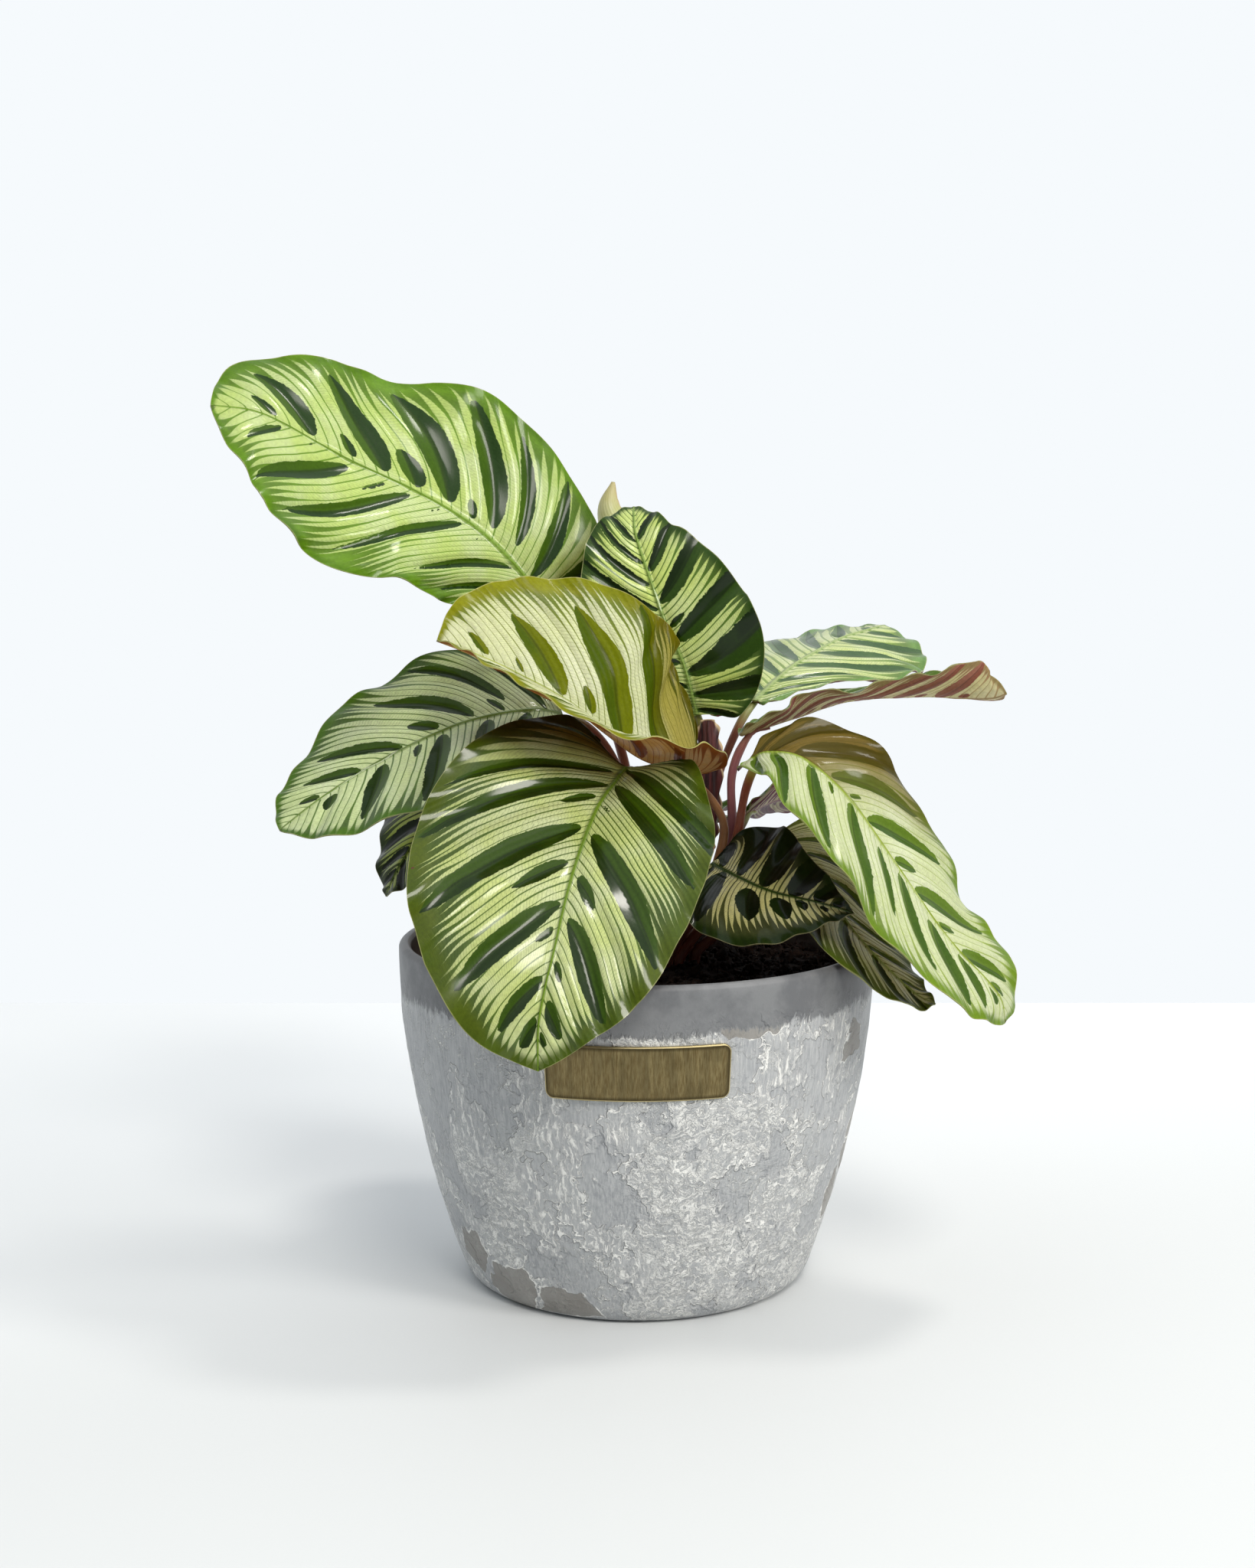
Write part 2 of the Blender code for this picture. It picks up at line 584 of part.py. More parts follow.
def add_plate():
    """A thin plate with rounded corners that follows the front of the pot."""
    half = PLATE_WIDTH / 2
    straight = half - PLATE_CORNER
    turns = [PLATE_CORNER * math.sin(math.radians(a)) for a in (20, 45, 70, 90)]
    right = [straight * k / 5 for k in range(6)] + [straight + turn for turn in turns]
    columns = [-s for s in reversed(right[1:])] + right
    rows = (-1, -0.33, 0.33, 1)
    points = []
    for depth in (CLEARANCE, CLEARANCE + PLATE_THICKNESS):
        for s in columns:
            past = max(abs(s) - straight, 0)
            tall = PLATE_HEIGHT / 2 - PLATE_CORNER + math.sqrt(max(PLATE_CORNER**2 - past**2, 0))
            for row in rows:
                z = PLATE_CENTRE_Z + row * tall
                radius = wall_radius(z) + depth
                angle = s / wall_radius(PLATE_CENTRE_Z)
                points.append((radius * math.sin(angle), -radius * math.cos(angle), z))
    high = len(rows)
    each = len(columns) * high
    faces = []
    for c in range(len(columns) - 1):
        for r in range(high - 1):
            a = c * high + r
            faces.append((a, a + 1, a + 1 + high, a + high))
            faces.append((each + a, each + a + high, each + a + 1 + high, each + a + 1))
    rim = [c * high for c in range(len(columns))] + [each - high + r for r in range(1, high)]
    rim += [c * high + high - 1 for c in reversed(range(len(columns) - 1))] + [r for r in range(high - 2, 0, -1)]
    for a, b in zip(rim, rim[1:] + rim[:1]):
        faces.append((a, b, b + each, a + each))
    add_object("plate", points, faces, "brass", sharp=50)


def add_soil():
    """Soil down to the pot's floor, with an uneven top and a blind hole for each stalk."""
    random = np.random.default_rng(SOIL_SEED)
    sides = POT_SIDES // 2
    gap = WALL + CLEARANCE + 0.0004
    heights = (FLOOR + CLEARANCE, 0.025, 0.060, 0.095, SOIL_LEVEL)
    profile = [(0, heights[0])]
    profile += [(wall_radius(z) - gap, z) for z in heights]
    top_radius = wall_radius(SOIL_LEVEL) - gap
    profile += [(top_radius * share, SOIL_LEVEL) for share in (0.85, 0.7, 0.55, 0.4, 0.2)]
    profile += [(0, SOIL_LEVEL)]
    points, faces = turned(profile, sides)
    for index, (x, y, z) in enumerate(points):
        if z == SOIL_LEVEL and math.hypot(x, y) < 0.97 * top_radius:
            points[index] = (x, y, soil_height(x, y) + SOIL_BUMP * random.uniform(-1, 1))
    soil = add_object("soil", points, faces, "soil", sharp=60)
    for stalk in [leaf["stalk"] for leaf in LEAVES.values()] + [YOUNG_STALK]:
        x, y = stalk[0]
        depth = 0.03
        middle = (x, y, HOLE_BOTTOM + depth / 2)
        bpy.ops.mesh.primitive_cylinder_add(vertices=HOLE_SIDES, radius=HOLE_RADIUS, depth=depth, location=middle)
        cut(soil, bpy.context.object)


def add_young_leaf():
    """The rolled leaf behind the top one: a slim spindle on its own stalk."""
    points = [point for point, _ in YOUNG_ROLL]
    curve = smooth_curve([(*point, radius) for point, radius in YOUNG_ROLL])
    run = np.concatenate([[0], np.cumsum(np.linalg.norm(np.diff(curve[:, :3], axis=0), axis=1))])
    where = np.linspace(0, run[-1], ROLL_RINGS)
    path = np.stack([np.interp(where, run, curve[:, k]) for k in range(4)], -1)
    add_tube("young_leaf_roll", path[:, :3], path[:, 3], STALK_SIDES + 1, "young")
    add_stalk("young_leaf_stalk", YOUNG_STALK, YOUNG_STALK_END)


def add_leaves():
    for name, leaf in LEAVES.items():
        large = leaf["width"] > 0.065
        add_blade(name + "_blade", leaf, 15 if large else 13, 11 if large else 9, "leaf")
        add_stalk(name + "_stalk", leaf["stalk"], stalk_end(leaf))
    add_blade("crown_sheath", SHEATH, 8, 7, "sheath")


for thing in list(bpy.data.objects):
    bpy.data.objects.remove(thing)
add_pot()
add_plate()
add_soil()
add_leaves()
add_young_leaf()
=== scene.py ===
"""Looks of the potted peacock plant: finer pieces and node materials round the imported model.

Lengths are in metres and angles in degrees, except where a comment says otherwise. Z is up, and the
front of the pot faces -Y.
"""

import math

import bmesh
import bpy
import numpy as np
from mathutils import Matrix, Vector, noise


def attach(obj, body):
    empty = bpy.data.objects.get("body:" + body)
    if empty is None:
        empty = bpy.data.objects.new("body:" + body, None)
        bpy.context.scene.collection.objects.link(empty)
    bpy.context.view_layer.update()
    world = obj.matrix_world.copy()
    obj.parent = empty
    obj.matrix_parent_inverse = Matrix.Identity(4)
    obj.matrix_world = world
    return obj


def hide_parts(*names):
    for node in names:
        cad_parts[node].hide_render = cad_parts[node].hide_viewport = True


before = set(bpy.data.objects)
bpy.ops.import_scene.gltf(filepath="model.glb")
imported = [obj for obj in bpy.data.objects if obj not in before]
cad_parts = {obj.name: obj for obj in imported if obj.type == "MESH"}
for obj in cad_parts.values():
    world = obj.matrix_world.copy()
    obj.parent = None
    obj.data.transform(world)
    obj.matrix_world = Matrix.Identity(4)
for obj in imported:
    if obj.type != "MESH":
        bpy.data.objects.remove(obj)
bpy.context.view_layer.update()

# The pot and the plate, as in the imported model
RIM_RADIUS = 0.090
POT_HEIGHT = 0.1285
FOOT_RADIUS = 0.0645
WALL_BULGE = 1.91
FOOT_CORNER = 0.0062
FOOT_DRAWN_IN = 0.8
WALL = 0.0036
RIM_WIDTH = 0.0046
FLOOR = 0.005
NOTCH_WIDTH = 0.010
NOTCH_HEIGHT = 0.001
PLATE_WIDTH = 0.0645
PLATE_HEIGHT = 0.0196
PLATE_CENTRE_Z = 0.0980
PLATE_CORNER = 0.003
PLATE_THICKNESS = 0.0012
PLATE_GAP = 0.0003

# Soil, blades and stalks
SOIL_LEVEL = 0.1145
SOIL_MOUND = 0.0065
SOIL_MOUND_SPREAD = 0.034
CROWN = (0.008, 0.003)
HOLE_BOTTOM = 0.106
STALK_FOOT_RADIUS = 0.0022
STALK_TOP_RADIUS = 0.0016
BLADE_THICKNESS = 0.0008

# Powers that bend the side veins: where they start on the midrib, and how they sweep on to the margin
VEIN_START = 1.6
VEIN_SWEEP = 1.35

# Half widths, folds and bends of a leaf that has none of its own; see LEAVES
USUAL_FORM = dict(
    left=[1, 1],
    right=[1, 1],
    fold=([12, 10, 5], [12, 10, 5]),
    bend=([0, -12, -15], [0, -12, -15]),
)

# One entry for each leaf: the midrib from the stalk to the tip, the direction that the upper face looks
# in at even stations along it, the full width, the two half widths at even stations as shares of the
# usual one, the fold of each half up from the midrib and its further bend out to the margin, the waves
# of the margin as (height, waves along the leaf, phase on the left, phase on the right), the outline as
# (broader towards the stalk, base lobes, drawn-out tip, roundness), and the stalk from the soil up.
LEAVES = {
    "top_left": dict(
        midrib=[
            (-0.035, 0.020, 0.251), (-0.045, 0.018, 0.267), (-0.061, 0.013, 0.283), (-0.082, 0.005, 0.296),
            (-0.107, -0.006, 0.308), (-0.134, -0.020, 0.323), (-0.152, -0.028, 0.326),
        ],
        face=[(0.1, -0.85, 0.45), (0.25, -0.8, 0.55), (0.15, -0.7, 0.7)],
        width=0.088,
        left=[0.85, 0.85, 1.02, 1.25, 1.3],
        right=[1.0, 1.12, 1.2, 1.12, 1.0, 1.06, 0.85],
        fold=([12, 10, 5], [12, 10, 0]),
        waves=(0.004, 2.7, 0.1, 0.22),
        outline=(0.0, 0.05, 0.02, 0.8),
        stalk=[(0.004, 0.003), (0.0035, 0.006, 0.150), (-0.008, 0.0155, 0.205), (-0.027, 0.021, 0.237)],
    ),
    "top_centre": dict(
        midrib=[
            (0.023, 0.012, 0.212), (0.018, 0.007, 0.231), (0.011, 0.007, 0.247), (0.006, 0.009, 0.261),
            (0.000, 0.015, 0.279), (-0.001, 0.022, 0.287), (-0.001, 0.028, 0.291),
        ],
        face=[(-0.2, -0.9, 0.2), (-0.1, -0.9, 0.3), (-0.1, -0.7, 0.7)],
        width=0.070,
        left=[1, 0.95, 0.88, 0.78, 0.7],
        right=[1.0, 1.04, 0.88, 0.64, 0.5],
        fold=([15, 12, 5], [15, 12, 5]),
        waves=(0.0015, 3, 0.1, 0.4),
        outline=(0.1, 0.06, 0.03, 0.9),
        stalk=[(0.0105, 0.0015), (0.020, 0.005, 0.138), (0.0272, 0.011, 0.170), (0.0257, 0.0152, 0.200)],
    ),
    "upper_front": dict(
        midrib=[
            (0.0225, -0.002, 0.191), (0.013, -0.0095, 0.194), (0.001, -0.0165, 0.199),
            (-0.012, -0.023, 0.209), (-0.025, -0.028, 0.220), (-0.044, -0.033, 0.231),
            (-0.061, -0.038, 0.239), (-0.071, -0.042, 0.243),
        ],
        face=[(0.2, -0.6, 0.8), (0, -0.6, 0.8), (0, -0.6, 0.8)],
        width=0.092,
        left=[0.75, 0.9, 0.9, 0.9, 1],
        right=[1.4, 1.15, 1.1, 1.05, 1.05],
        fold=([50, 56, 52, 44, 40, 40, 40], [35, 35, 30, 25]),
        bend=([10, 0, -10, -15], [0, -12, -15]),
        waves=(0.001, 3, 0.1, 0.4),
        outline=(0.05, 0.02, 0.02, 0.85),
        stalk=[(0.0095, -0.0055), (0.021, -0.0055, 0.136), (0.0305, -0.0052, 0.158), (0.032, -0.005, 0.175)],
    ),
    "front": dict(
        midrib=[
            (-0.004, -0.025, 0.196), (-0.014, -0.048, 0.184), (-0.021, -0.068, 0.168),
            (-0.025, -0.083, 0.155), (-0.028, -0.093, 0.142), (-0.031, -0.100, 0.130),
            (-0.033, -0.105, 0.118), (-0.033, -0.108, 0.104),
        ],
        face=[(0, -0.6, 0.8), (0, -0.8, 0.5), (0, -1, 0.1)],
        width=0.112,
        left=[1, 0.9, 0.8, 0.81, 0.95],
        right=[1, 1, 1, 1.06, 1],
        fold=([15, 10, 5], [20, 13, 10, 5]),
        bend=([0, -12, -15], [30, 0, -12, -15]),
        waves=(0.0015, 3, 0.1, 0.4),
        outline=(0.12, 0.08, 0.05, 1),
        stalk=[(0.005, -0.011), (0.008, -0.011, 0.145), (0.003, -0.010, 0.180), (-0.001, -0.015, 0.193)],
    ),
    "left": dict(
        midrib=[
            (-0.028, 0.002, 0.213), (-0.040, -0.004, 0.215), (-0.064, -0.012, 0.211),
            (-0.090, -0.024, 0.200), (-0.112, -0.035, 0.187), (-0.128, -0.042, 0.175),
        ],
        face=[(-0.1, -0.55, 0.8), (-0.2, -0.6, 0.77), (-0.3, -0.6, 0.7)],
        width=0.078,
        left=[0.3, 0.6, 0.95, 1, 1],
        right=[1, 1, 1, 0.8, 0.95],
        waves=(0.0025, 3, 0.1, 0.4),
        outline=(0.1, 0.05, 0.03, 0.9),
        stalk=[(0.003, -0.004), (0.002, -0.003, 0.150), (-0.006, 0.000, 0.190), (-0.018, 0.002, 0.208)],
    ),
    "low_left": dict(
        midrib=[
            (-0.032, 0.005, 0.198), (-0.052, 0.000, 0.198), (-0.068, -0.006, 0.189),
            (-0.080, -0.012, 0.171), (-0.089, -0.016, 0.156), (-0.093, -0.018, 0.147),
        ],
        face=[(-0.1, -0.5, 0.8), (-0.5, -0.6, 0.6), (-0.8, -0.5, 0.3)],
        width=0.062,
        waves=(0.002, 3, 0.1, 0.4),
        outline=(0.1, 0.05, 0.05, 1),
        stalk=[(-0.0025, 0.0015), (-0.006, 0.003, 0.150), (-0.016, 0.007, 0.183), (-0.025, 0.007, 0.195)],
    ),
    "right": dict(
        midrib=[
            (0.042, -0.015, 0.198), (0.049, -0.021, 0.201), (0.061, -0.028, 0.199), (0.076, -0.037, 0.186),
            (0.091, -0.044, 0.165), (0.110, -0.050, 0.138), (0.128, -0.052, 0.118), (0.131, -0.052, 0.107),
        ],
        face=[(0, -0.5, 0.85), (0.45, -0.4, 0.75), (0.7, -0.42, 0.5)],
        width=0.074,
        left=[0.7, 0.8, 1, 1.2, 1.2],
        right=[0.8, 0.85, 0.95, 1.15, 1.3],
        bend=([0, -20, -15], [0, -20, -15]),
        waves=(0.002, 3, 0.6, 0.9),
        outline=(0.1, 0.01, 0.02, 0.85),
        stalk=[(0.016, -0.007), (0.028, -0.0012, 0.138), (0.0368, -0.0030, 0.163), (0.0408, -0.0085, 0.186)],
    ),
    "back_right": dict(
        midrib=[
            (0.046, 0.032, 0.216), (0.062, 0.060, 0.227), (0.076, 0.085, 0.233), (0.088, 0.107, 0.237),
            (0.104, 0.130, 0.240), (0.110, 0.140, 0.241),
        ],
        face=[(0.3, -0.25, 0.93), (0.3, -0.25, 0.93), (0.35, -0.2, 0.93)],
        width=0.084,
        left=[1, 1, 0.9, 0.9, 1],
        right=[0.25, 0.4, 0.85, 1.1, 1.1],
        fold=([-12, -18, -22], [12, 10, 5]),
        bend=([0, -15, -10], [0, -12, -15]),
        waves=(0.0025, 3, 0.5, 0.4),
        outline=(0.05, 0.03, 0.03, 0.85),
        stalk=[(0.0125, 0.0085), (0.020, 0.014, 0.145), (0.0296, 0.0268, 0.180), (0.040, 0.031, 0.206)],
    ),
    "rolled_right": dict(
        midrib=[
            (0.039, 0.008, 0.205), (0.052, 0.010, 0.209), (0.062, 0.011, 0.212), (0.081, 0.009, 0.218),
            (0.107, 0.002, 0.220), (0.130, -0.008, 0.220), (0.137, -0.011, 0.222),
        ],
        face=[(0, 0.35, 0.94), (0, 0.35, 0.94), (0, 0.35, 0.94), (0, 0.5, 0.85), (0.1, 0.95, 0.3)],
        width=0.044,
        right=[1, 1, 0.9, 1.1, 1.9],
        fold=([20, 20, 25, 45, 60], [0, 0, -8, 0, 0]),
        bend=([10, 10], [10, 10]),
        waves=(0.0015, 3, 0.1, 0.4),
        outline=(0.0, 0.0, 0.03, 0.8),
        stalk=[(0.017, 0.000), (0.0295, 0.0039, 0.142), (0.036, 0.0045, 0.166), (0.0363, 0.006, 0.190)],
    ),
    "low_front_right": dict(
        midrib=[
            (0.028, -0.010, 0.158), (0.038, -0.026, 0.155), (0.049, -0.038, 0.152), (0.064, -0.048, 0.150),
            (0.077, -0.054, 0.147),
        ],
        face=[(0, -0.85, 0.5), (0.1, -0.8, 0.55), (0.2, -0.75, 0.6)],
        width=0.062,
        left=[1.0, 0.95, 0.75, 0.62, 0.5],
        right=[0.65, 0.84, 0.91, 0.85, 0.6],
        waves=(0.001, 3, 0.1, 0.4),
        outline=(0.2, 0.03, 0.09, 1),
        stalk=[(0.0115, -0.012), (0.019, -0.011, 0.135), (0.0255, -0.0095, 0.150)],
    ),
    "low_right": dict(
        midrib=[
            (0.046, 0.012, 0.160), (0.059, -0.002, 0.163), (0.069, -0.019, 0.154), (0.075, -0.031, 0.142),
            (0.085, -0.042, 0.130), (0.099, -0.047, 0.117), (0.107, -0.048, 0.113),
        ],
        face=[(0.2, -0.4, 0.9), (0.5, -0.35, 0.8), (0.7, -0.35, 0.5)],
        width=0.060,
        left=[1.4, 1.25, 1, 1],
        right=[0.3, 0.6, 0.85, 1],
        fold=([12, 10, 5], [-25, -20, 0, 5]),
        bend=([0, -20, -15], [0, -20, -15]),
        waves=(0.001, 3, 0.1, 0.4),
        outline=(0.1, 0.04, 0.04, 1),
        stalk=[(0.022, -0.004), (0.0245, -0.003, 0.125), (0.035, 0.004, 0.133), (0.0435, 0.0135, 0.1465)],
    ),
    "low_back_right": dict(
        midrib=[
            (0.040, 0.015, 0.173), (0.046, 0.026, 0.174), (0.056, 0.040, 0.176), (0.071, 0.052, 0.177),
            (0.085, 0.060, 0.178),
        ],
        face=[(0, 0.75, 0.66), (0, 0.75, 0.66)],
        width=0.050,
        bend=([10, 20, 15], [10, 20, 15]),
        waves=(0.001, 3, 0.1, 0.4),
        outline=(0.1, 0.04, 0.04, 1),
        stalk=[(0.019, 0.006), (0.028, 0.009, 0.140), (0.036, 0.0115, 0.160)],
    ),
    "back_left": dict(
        midrib=[
            (0.000, 0.040, 0.177), (-0.020, 0.060, 0.180), (-0.042, 0.078, 0.168), (-0.060, 0.092, 0.148),
        ],
        face=[(-0.2, 0.4, 0.9), (-0.3, 0.5, 0.8)],
        width=0.062,
        bend=([0, -15], [0, -15]),
        waves=(0.002, 3, 0.1, 0.6),
        outline=(0.1, 0.05, 0.04, 0.9),
        stalk=[(-0.001, 0.009), (-0.001, 0.015, 0.145), (-0.001, 0.030, 0.170)],
    ),
    "low_back": dict(
        midrib=[(0.017, 0.046, 0.166), (0.013, 0.070, 0.169), (0.008, 0.094, 0.158), (0.004, 0.112, 0.136)],
        face=[(0, 0.3, 0.95), (0, 0.8, 0.6)],
        width=0.056,
        bend=([0, -15], [0, -15]),
        waves=(0.002, 3, 0.3, 0.7),
        outline=(0.1, 0.05, 0.04, 0.9),
        stalk=[(0.009, 0.0155), (0.011, 0.022, 0.140), (0.016, 0.037, 0.160)],
    ),
}

# The short sheath that clasps the stalks at the crown, shaped like a small curled blade
SHEATH = dict(
    midrib=[(0.0260, 0.0062, 0.160), (0.0275, 0.0052, 0.188), (0.027, 0.0055, 0.211)],
    face=[(0, -1, 0), (0, -1, 0)],
    width=0.0125,
    fold=([0, 0], [0, 0]),
    bend=([-70, -70], [-70, -70]),
    waves=(0, 1, 0, 0),
    outline=(0, 0, 0, 0.5),
)

# The young leaf is still rolled up: its stalk, the stalk's end inside the roll, and the roll as
# (point, radius) up to its tip
YOUNG_STALK = [(0.006, 0.0095), (0.008, 0.016, 0.155), (0.011, 0.026, 0.200), (0.0122, 0.030, 0.218)]
YOUNG_STALK_END = [(0.0123, 0.0304, 0.2198), (0.0103, 0.0316, 0.2258)]
YOUNG_ROLL = [
    ((0.0120, 0.0305, 0.2205), 0.0020),
    ((0.0030, 0.0360, 0.2480), 0.0042),
    ((-0.0060, 0.0400, 0.2770), 0.0062),
    ((-0.0105, 0.0420, 0.2900), 0.0050),
    ((-0.0090, 0.0430, 0.3010), 0.0008),
]

# The dark lobes of each leaf as (side vein, half width, start, end): the side vein counts from 0 at the
# stalk to 1 at the tip, the half width is in the same measure, and start and end are shares of the way
# from the midrib to the margin. "lean" is how much the side veins of each half sweep towards the tip.
MARKS = {
    "top_left": dict(
        lean=(0.45, 0.10),
        left=[
            (0.88, 0.012, 0.06, 0.75), (0.82, 0.003, 0.02, 0.20), (0.748, 0.029, 0.06, 0.92),
            (0.665, 0.008, 0.05, 0.26), (0.612, 0.026, 0.05, 0.90), (0.535, 0.004, 0.03, 0.15),
            (0.475, 0.024, 0.04, 0.85), (0.40, 0.004, 0.03, 0.14), (0.28, 0.026, 0.05, 0.80),
            (0.13, 0.030, 0.05, 0.90),
        ],
        right=[
            (0.90, 0.013, 0.08, 0.55), (0.83, 0.029, 0.07, 0.85), (0.745, 0.014, 0.06, 0.29),
            (0.68, 0.039, 0.06, 0.86), (0.607, 0.029, 0.05, 0.36), (0.528, 0.039, 0.06, 0.88),
            (0.465, 0.013, 0.04, 0.19), (0.405, 0.032, 0.08, 0.92), (0.32, 0.021, 0.12, 0.90),
            (0.22, 0.026, 0.05, 0.95), (0.11, 0.030, 0.05, 1.0),
        ],
    ),
    "top_centre": dict(
        lean=(0.2, 0.0),
        left=[
            (0.86, 0.018, 0.05, 1.2), (0.79, 0.016, 0.03, 1.2), (0.715, 0.020, 0.02, 1.2),
            (0.63, 0.020, 0.02, 1.2), (0.53, 0.034, 0.02, 1.2), (0.41, 0.036, 0.02, 1.2),
            (0.28, 0.040, 0.02, 1.2), (0.14, 0.040, 0.02, 1.2),
        ],
        right=[
            (0.87, 0.020, 0.03, 1.2), (0.765, 0.026, 0.02, 1.2), (0.655, 0.034, 0.02, 1.2),
            (0.56, 0.014, 0.03, 0.30), (0.505, 0.044, 0.02, 1.3), (0.355, 0.046, 0.0, 1.4),
            (0.225, 0.040, 0.0, 1.4), (0.10, 0.040, 0.0, 1.4),
        ],
    ),
    "upper_front": dict(
        lean=(0.3, 0.55),
        left=[
            (0.80, 0.03, 0.05, 0.9), (0.60, 0.03, 0.05, 0.9), (0.40, 0.03, 0.05, 0.9),
            (0.22, 0.03, 0.05, 0.9),
        ],
        right=[
            (0.885, 0.016, 0.10, 0.55), (0.80, 0.008, 0.05, 0.25), (0.70, 0.046, 0.03, 0.70),
            (0.60, 0.022, 0.05, 0.22), (0.475, 0.070, 0.0, 0.80), (0.235, 0.080, 0.0, 1.0),
        ],
    ),
    "front": dict(
        lean=(0.55, 0.55),
        left=[
            (0.94, 0.011, 0.06, 0.44), (0.885, 0.025, 0.08, 0.68), (0.81, 0.014, 0.05, 0.24),
            (0.715, 0.042, 0.07, 0.95), (0.61, 0.027, 0.05, 0.30), (0.475, 0.055, 0.04, 0.97),
            (0.35, 0.008, 0.03, 0.14), (0.225, 0.060, 0.03, 0.96), (0.04, 0.065, 0.02, 1.3),
        ],
        right=[
            (0.92, 0.021, 0.05, 0.64), (0.845, 0.025, 0.05, 0.78), (0.745, 0.012, 0.04, 0.20),
            (0.69, 0.038, 0.03, 0.92), (0.57, 0.026, 0.05, 0.38), (0.455, 0.048, 0.04, 0.95),
            (0.315, 0.022, 0.05, 0.24), (0.235, 0.042, 0.03, 1.0), (0.10, 0.030, 0.10, 0.95),
        ],
    ),
    "left": dict(
        lean=(0.1, 0.25),
        left=[
            (0.87, 0.020, 0.12, 0.45), (0.74, 0.030, 0.08, 0.85), (0.64, 0.012, 0.05, 0.25),
            (0.57, 0.034, 0.05, 0.9), (0.42, 0.036, 0.05, 0.9), (0.27, 0.034, 0.05, 0.9),
        ],
        right=[
            (0.895, 0.016, 0.10, 0.52), (0.795, 0.027, 0.04, 0.76), (0.68, 0.029, 0.03, 0.84),
            (0.565, 0.026, 0.06, 0.32), (0.455, 0.034, 0.05, 0.82), (0.35, 0.018, 0.05, 0.25),
            (0.30, 0.030, 0.2, 0.95), (0.15, 0.030, 0.05, 0.95),
        ],
    ),
    "low_left": dict(
        lean=(0.1, 0.1),
        left=[
            (0.90, 0.025, 0.0, 1.3), (0.78, 0.040, 0.0, 1.3), (0.64, 0.045, 0.0, 1.3),
            (0.48, 0.05, 0.0, 1.3), (0.30, 0.05, 0.0, 1.3), (0.12, 0.05, 0.0, 1.3),
        ],
        right=[
            (0.93, 0.020, 0.0, 1.3), (0.86, 0.020, 0.0, 0.9), (0.765, 0.030, 0.0, 1.0),
            (0.655, 0.032, 0.0, 1.1), (0.53, 0.05, 0.0, 1.3), (0.36, 0.05, 0.0, 1.3),
            (0.18, 0.05, 0.0, 1.3),
        ],
    ),
    "right": dict(
        lean=(0.15, 0.22),
        left=[
            (0.935, 0.014, 0.1, 0.5), (0.87, 0.030, 0.05, 0.85), (0.80, 0.012, 0.04, 0.26),
            (0.728, 0.033, 0.02, 0.90), (0.655, 0.018, 0.03, 0.26), (0.553, 0.034, 0.03, 0.78),
            (0.48, 0.009, 0.03, 0.15), (0.41, 0.034, 0.05, 0.90), (0.29, 0.042, 0.0, 1.1),
            (0.17, 0.036, 0.0, 1.1), (0.06, 0.036, 0.0, 1.1),
        ],
        right=[
            (0.935, 0.014, 0.1, 0.5), (0.865, 0.027, 0.05, 0.8), (0.780, 0.033, 0.08, 0.88),
            (0.680, 0.024, 0.04, 0.82), (0.60, 0.017, 0.1, 0.66), (0.50, 0.029, 0.02, 0.90),
            (0.42, 0.010, 0.04, 0.20), (0.35, 0.030, 0.0, 0.92), (0.20, 0.036, 0.0, 0.98),
            (0.07, 0.03, 0.0, 1.0),
        ],
    ),
    "back_right": dict(
        lean=(0.35, 0.35),
        left=[
            (0.92, 0.020, 0.05, 0.8), (0.80, 0.032, 0.02, 1.0), (0.66, 0.036, 0.02, 1.0),
            (0.51, 0.038, 0.02, 1.0), (0.36, 0.038, 0.0, 1.1), (0.20, 0.038, 0.0, 1.1),
            (0.04, 0.036, 0.0, 1.1),
        ],
        right=[
            (0.90, 0.022, 0.05, 0.9), (0.77, 0.034, 0.02, 1.1), (0.62, 0.038, 0.02, 1.1),
            (0.47, 0.040, 0.02, 1.1), (0.31, 0.040, 0.0, 1.2), (0.14, 0.040, 0.0, 1.2),
        ],
    ),
    "low_front_right": dict(
        lean=(-0.25, 0.2),
        left=[
            (0.93, 0.018, 0.0, 1.0), (0.86, 0.030, 0.02, 1.3), (0.76, 0.052, 0.02, 1.4),
            (0.60, 0.072, 0.03, 1.5), (0.42, 0.078, 0.02, 1.5), (0.22, 0.080, 0.0, 1.5),
        ],
        right=[
            (0.88, 0.016, 0.10, 0.48), (0.795, 0.026, 0.05, 0.38), (0.70, 0.048, 0.08, 0.58),
            (0.55, 0.062, 0.08, 0.60), (0.30, 0.090, 0.02, 0.95), (0.12, 0.06, 0.0, 1.2),
        ],
    ),
    "low_right": dict(
        lean=(0.3, 0.1),
        left=[
            (0.90, 0.014, 0.05, 1.1), (0.79, 0.018, 0.02, 1.1), (0.67, 0.020, 0.02, 1.1),
            (0.54, 0.024, 0.02, 1.1), (0.40, 0.03, 0.0, 1.2), (0.24, 0.03, 0.0, 1.2),
        ],
        right=[
            (0.93, 0.014, 0.0, 1.2), (0.83, 0.024, 0.0, 1.2), (0.71, 0.026, 0.0, 1.2),
            (0.58, 0.028, 0.0, 1.2), (0.44, 0.03, 0.0, 1.2), (0.28, 0.04, 0.0, 1.2),
        ],
    ),
}

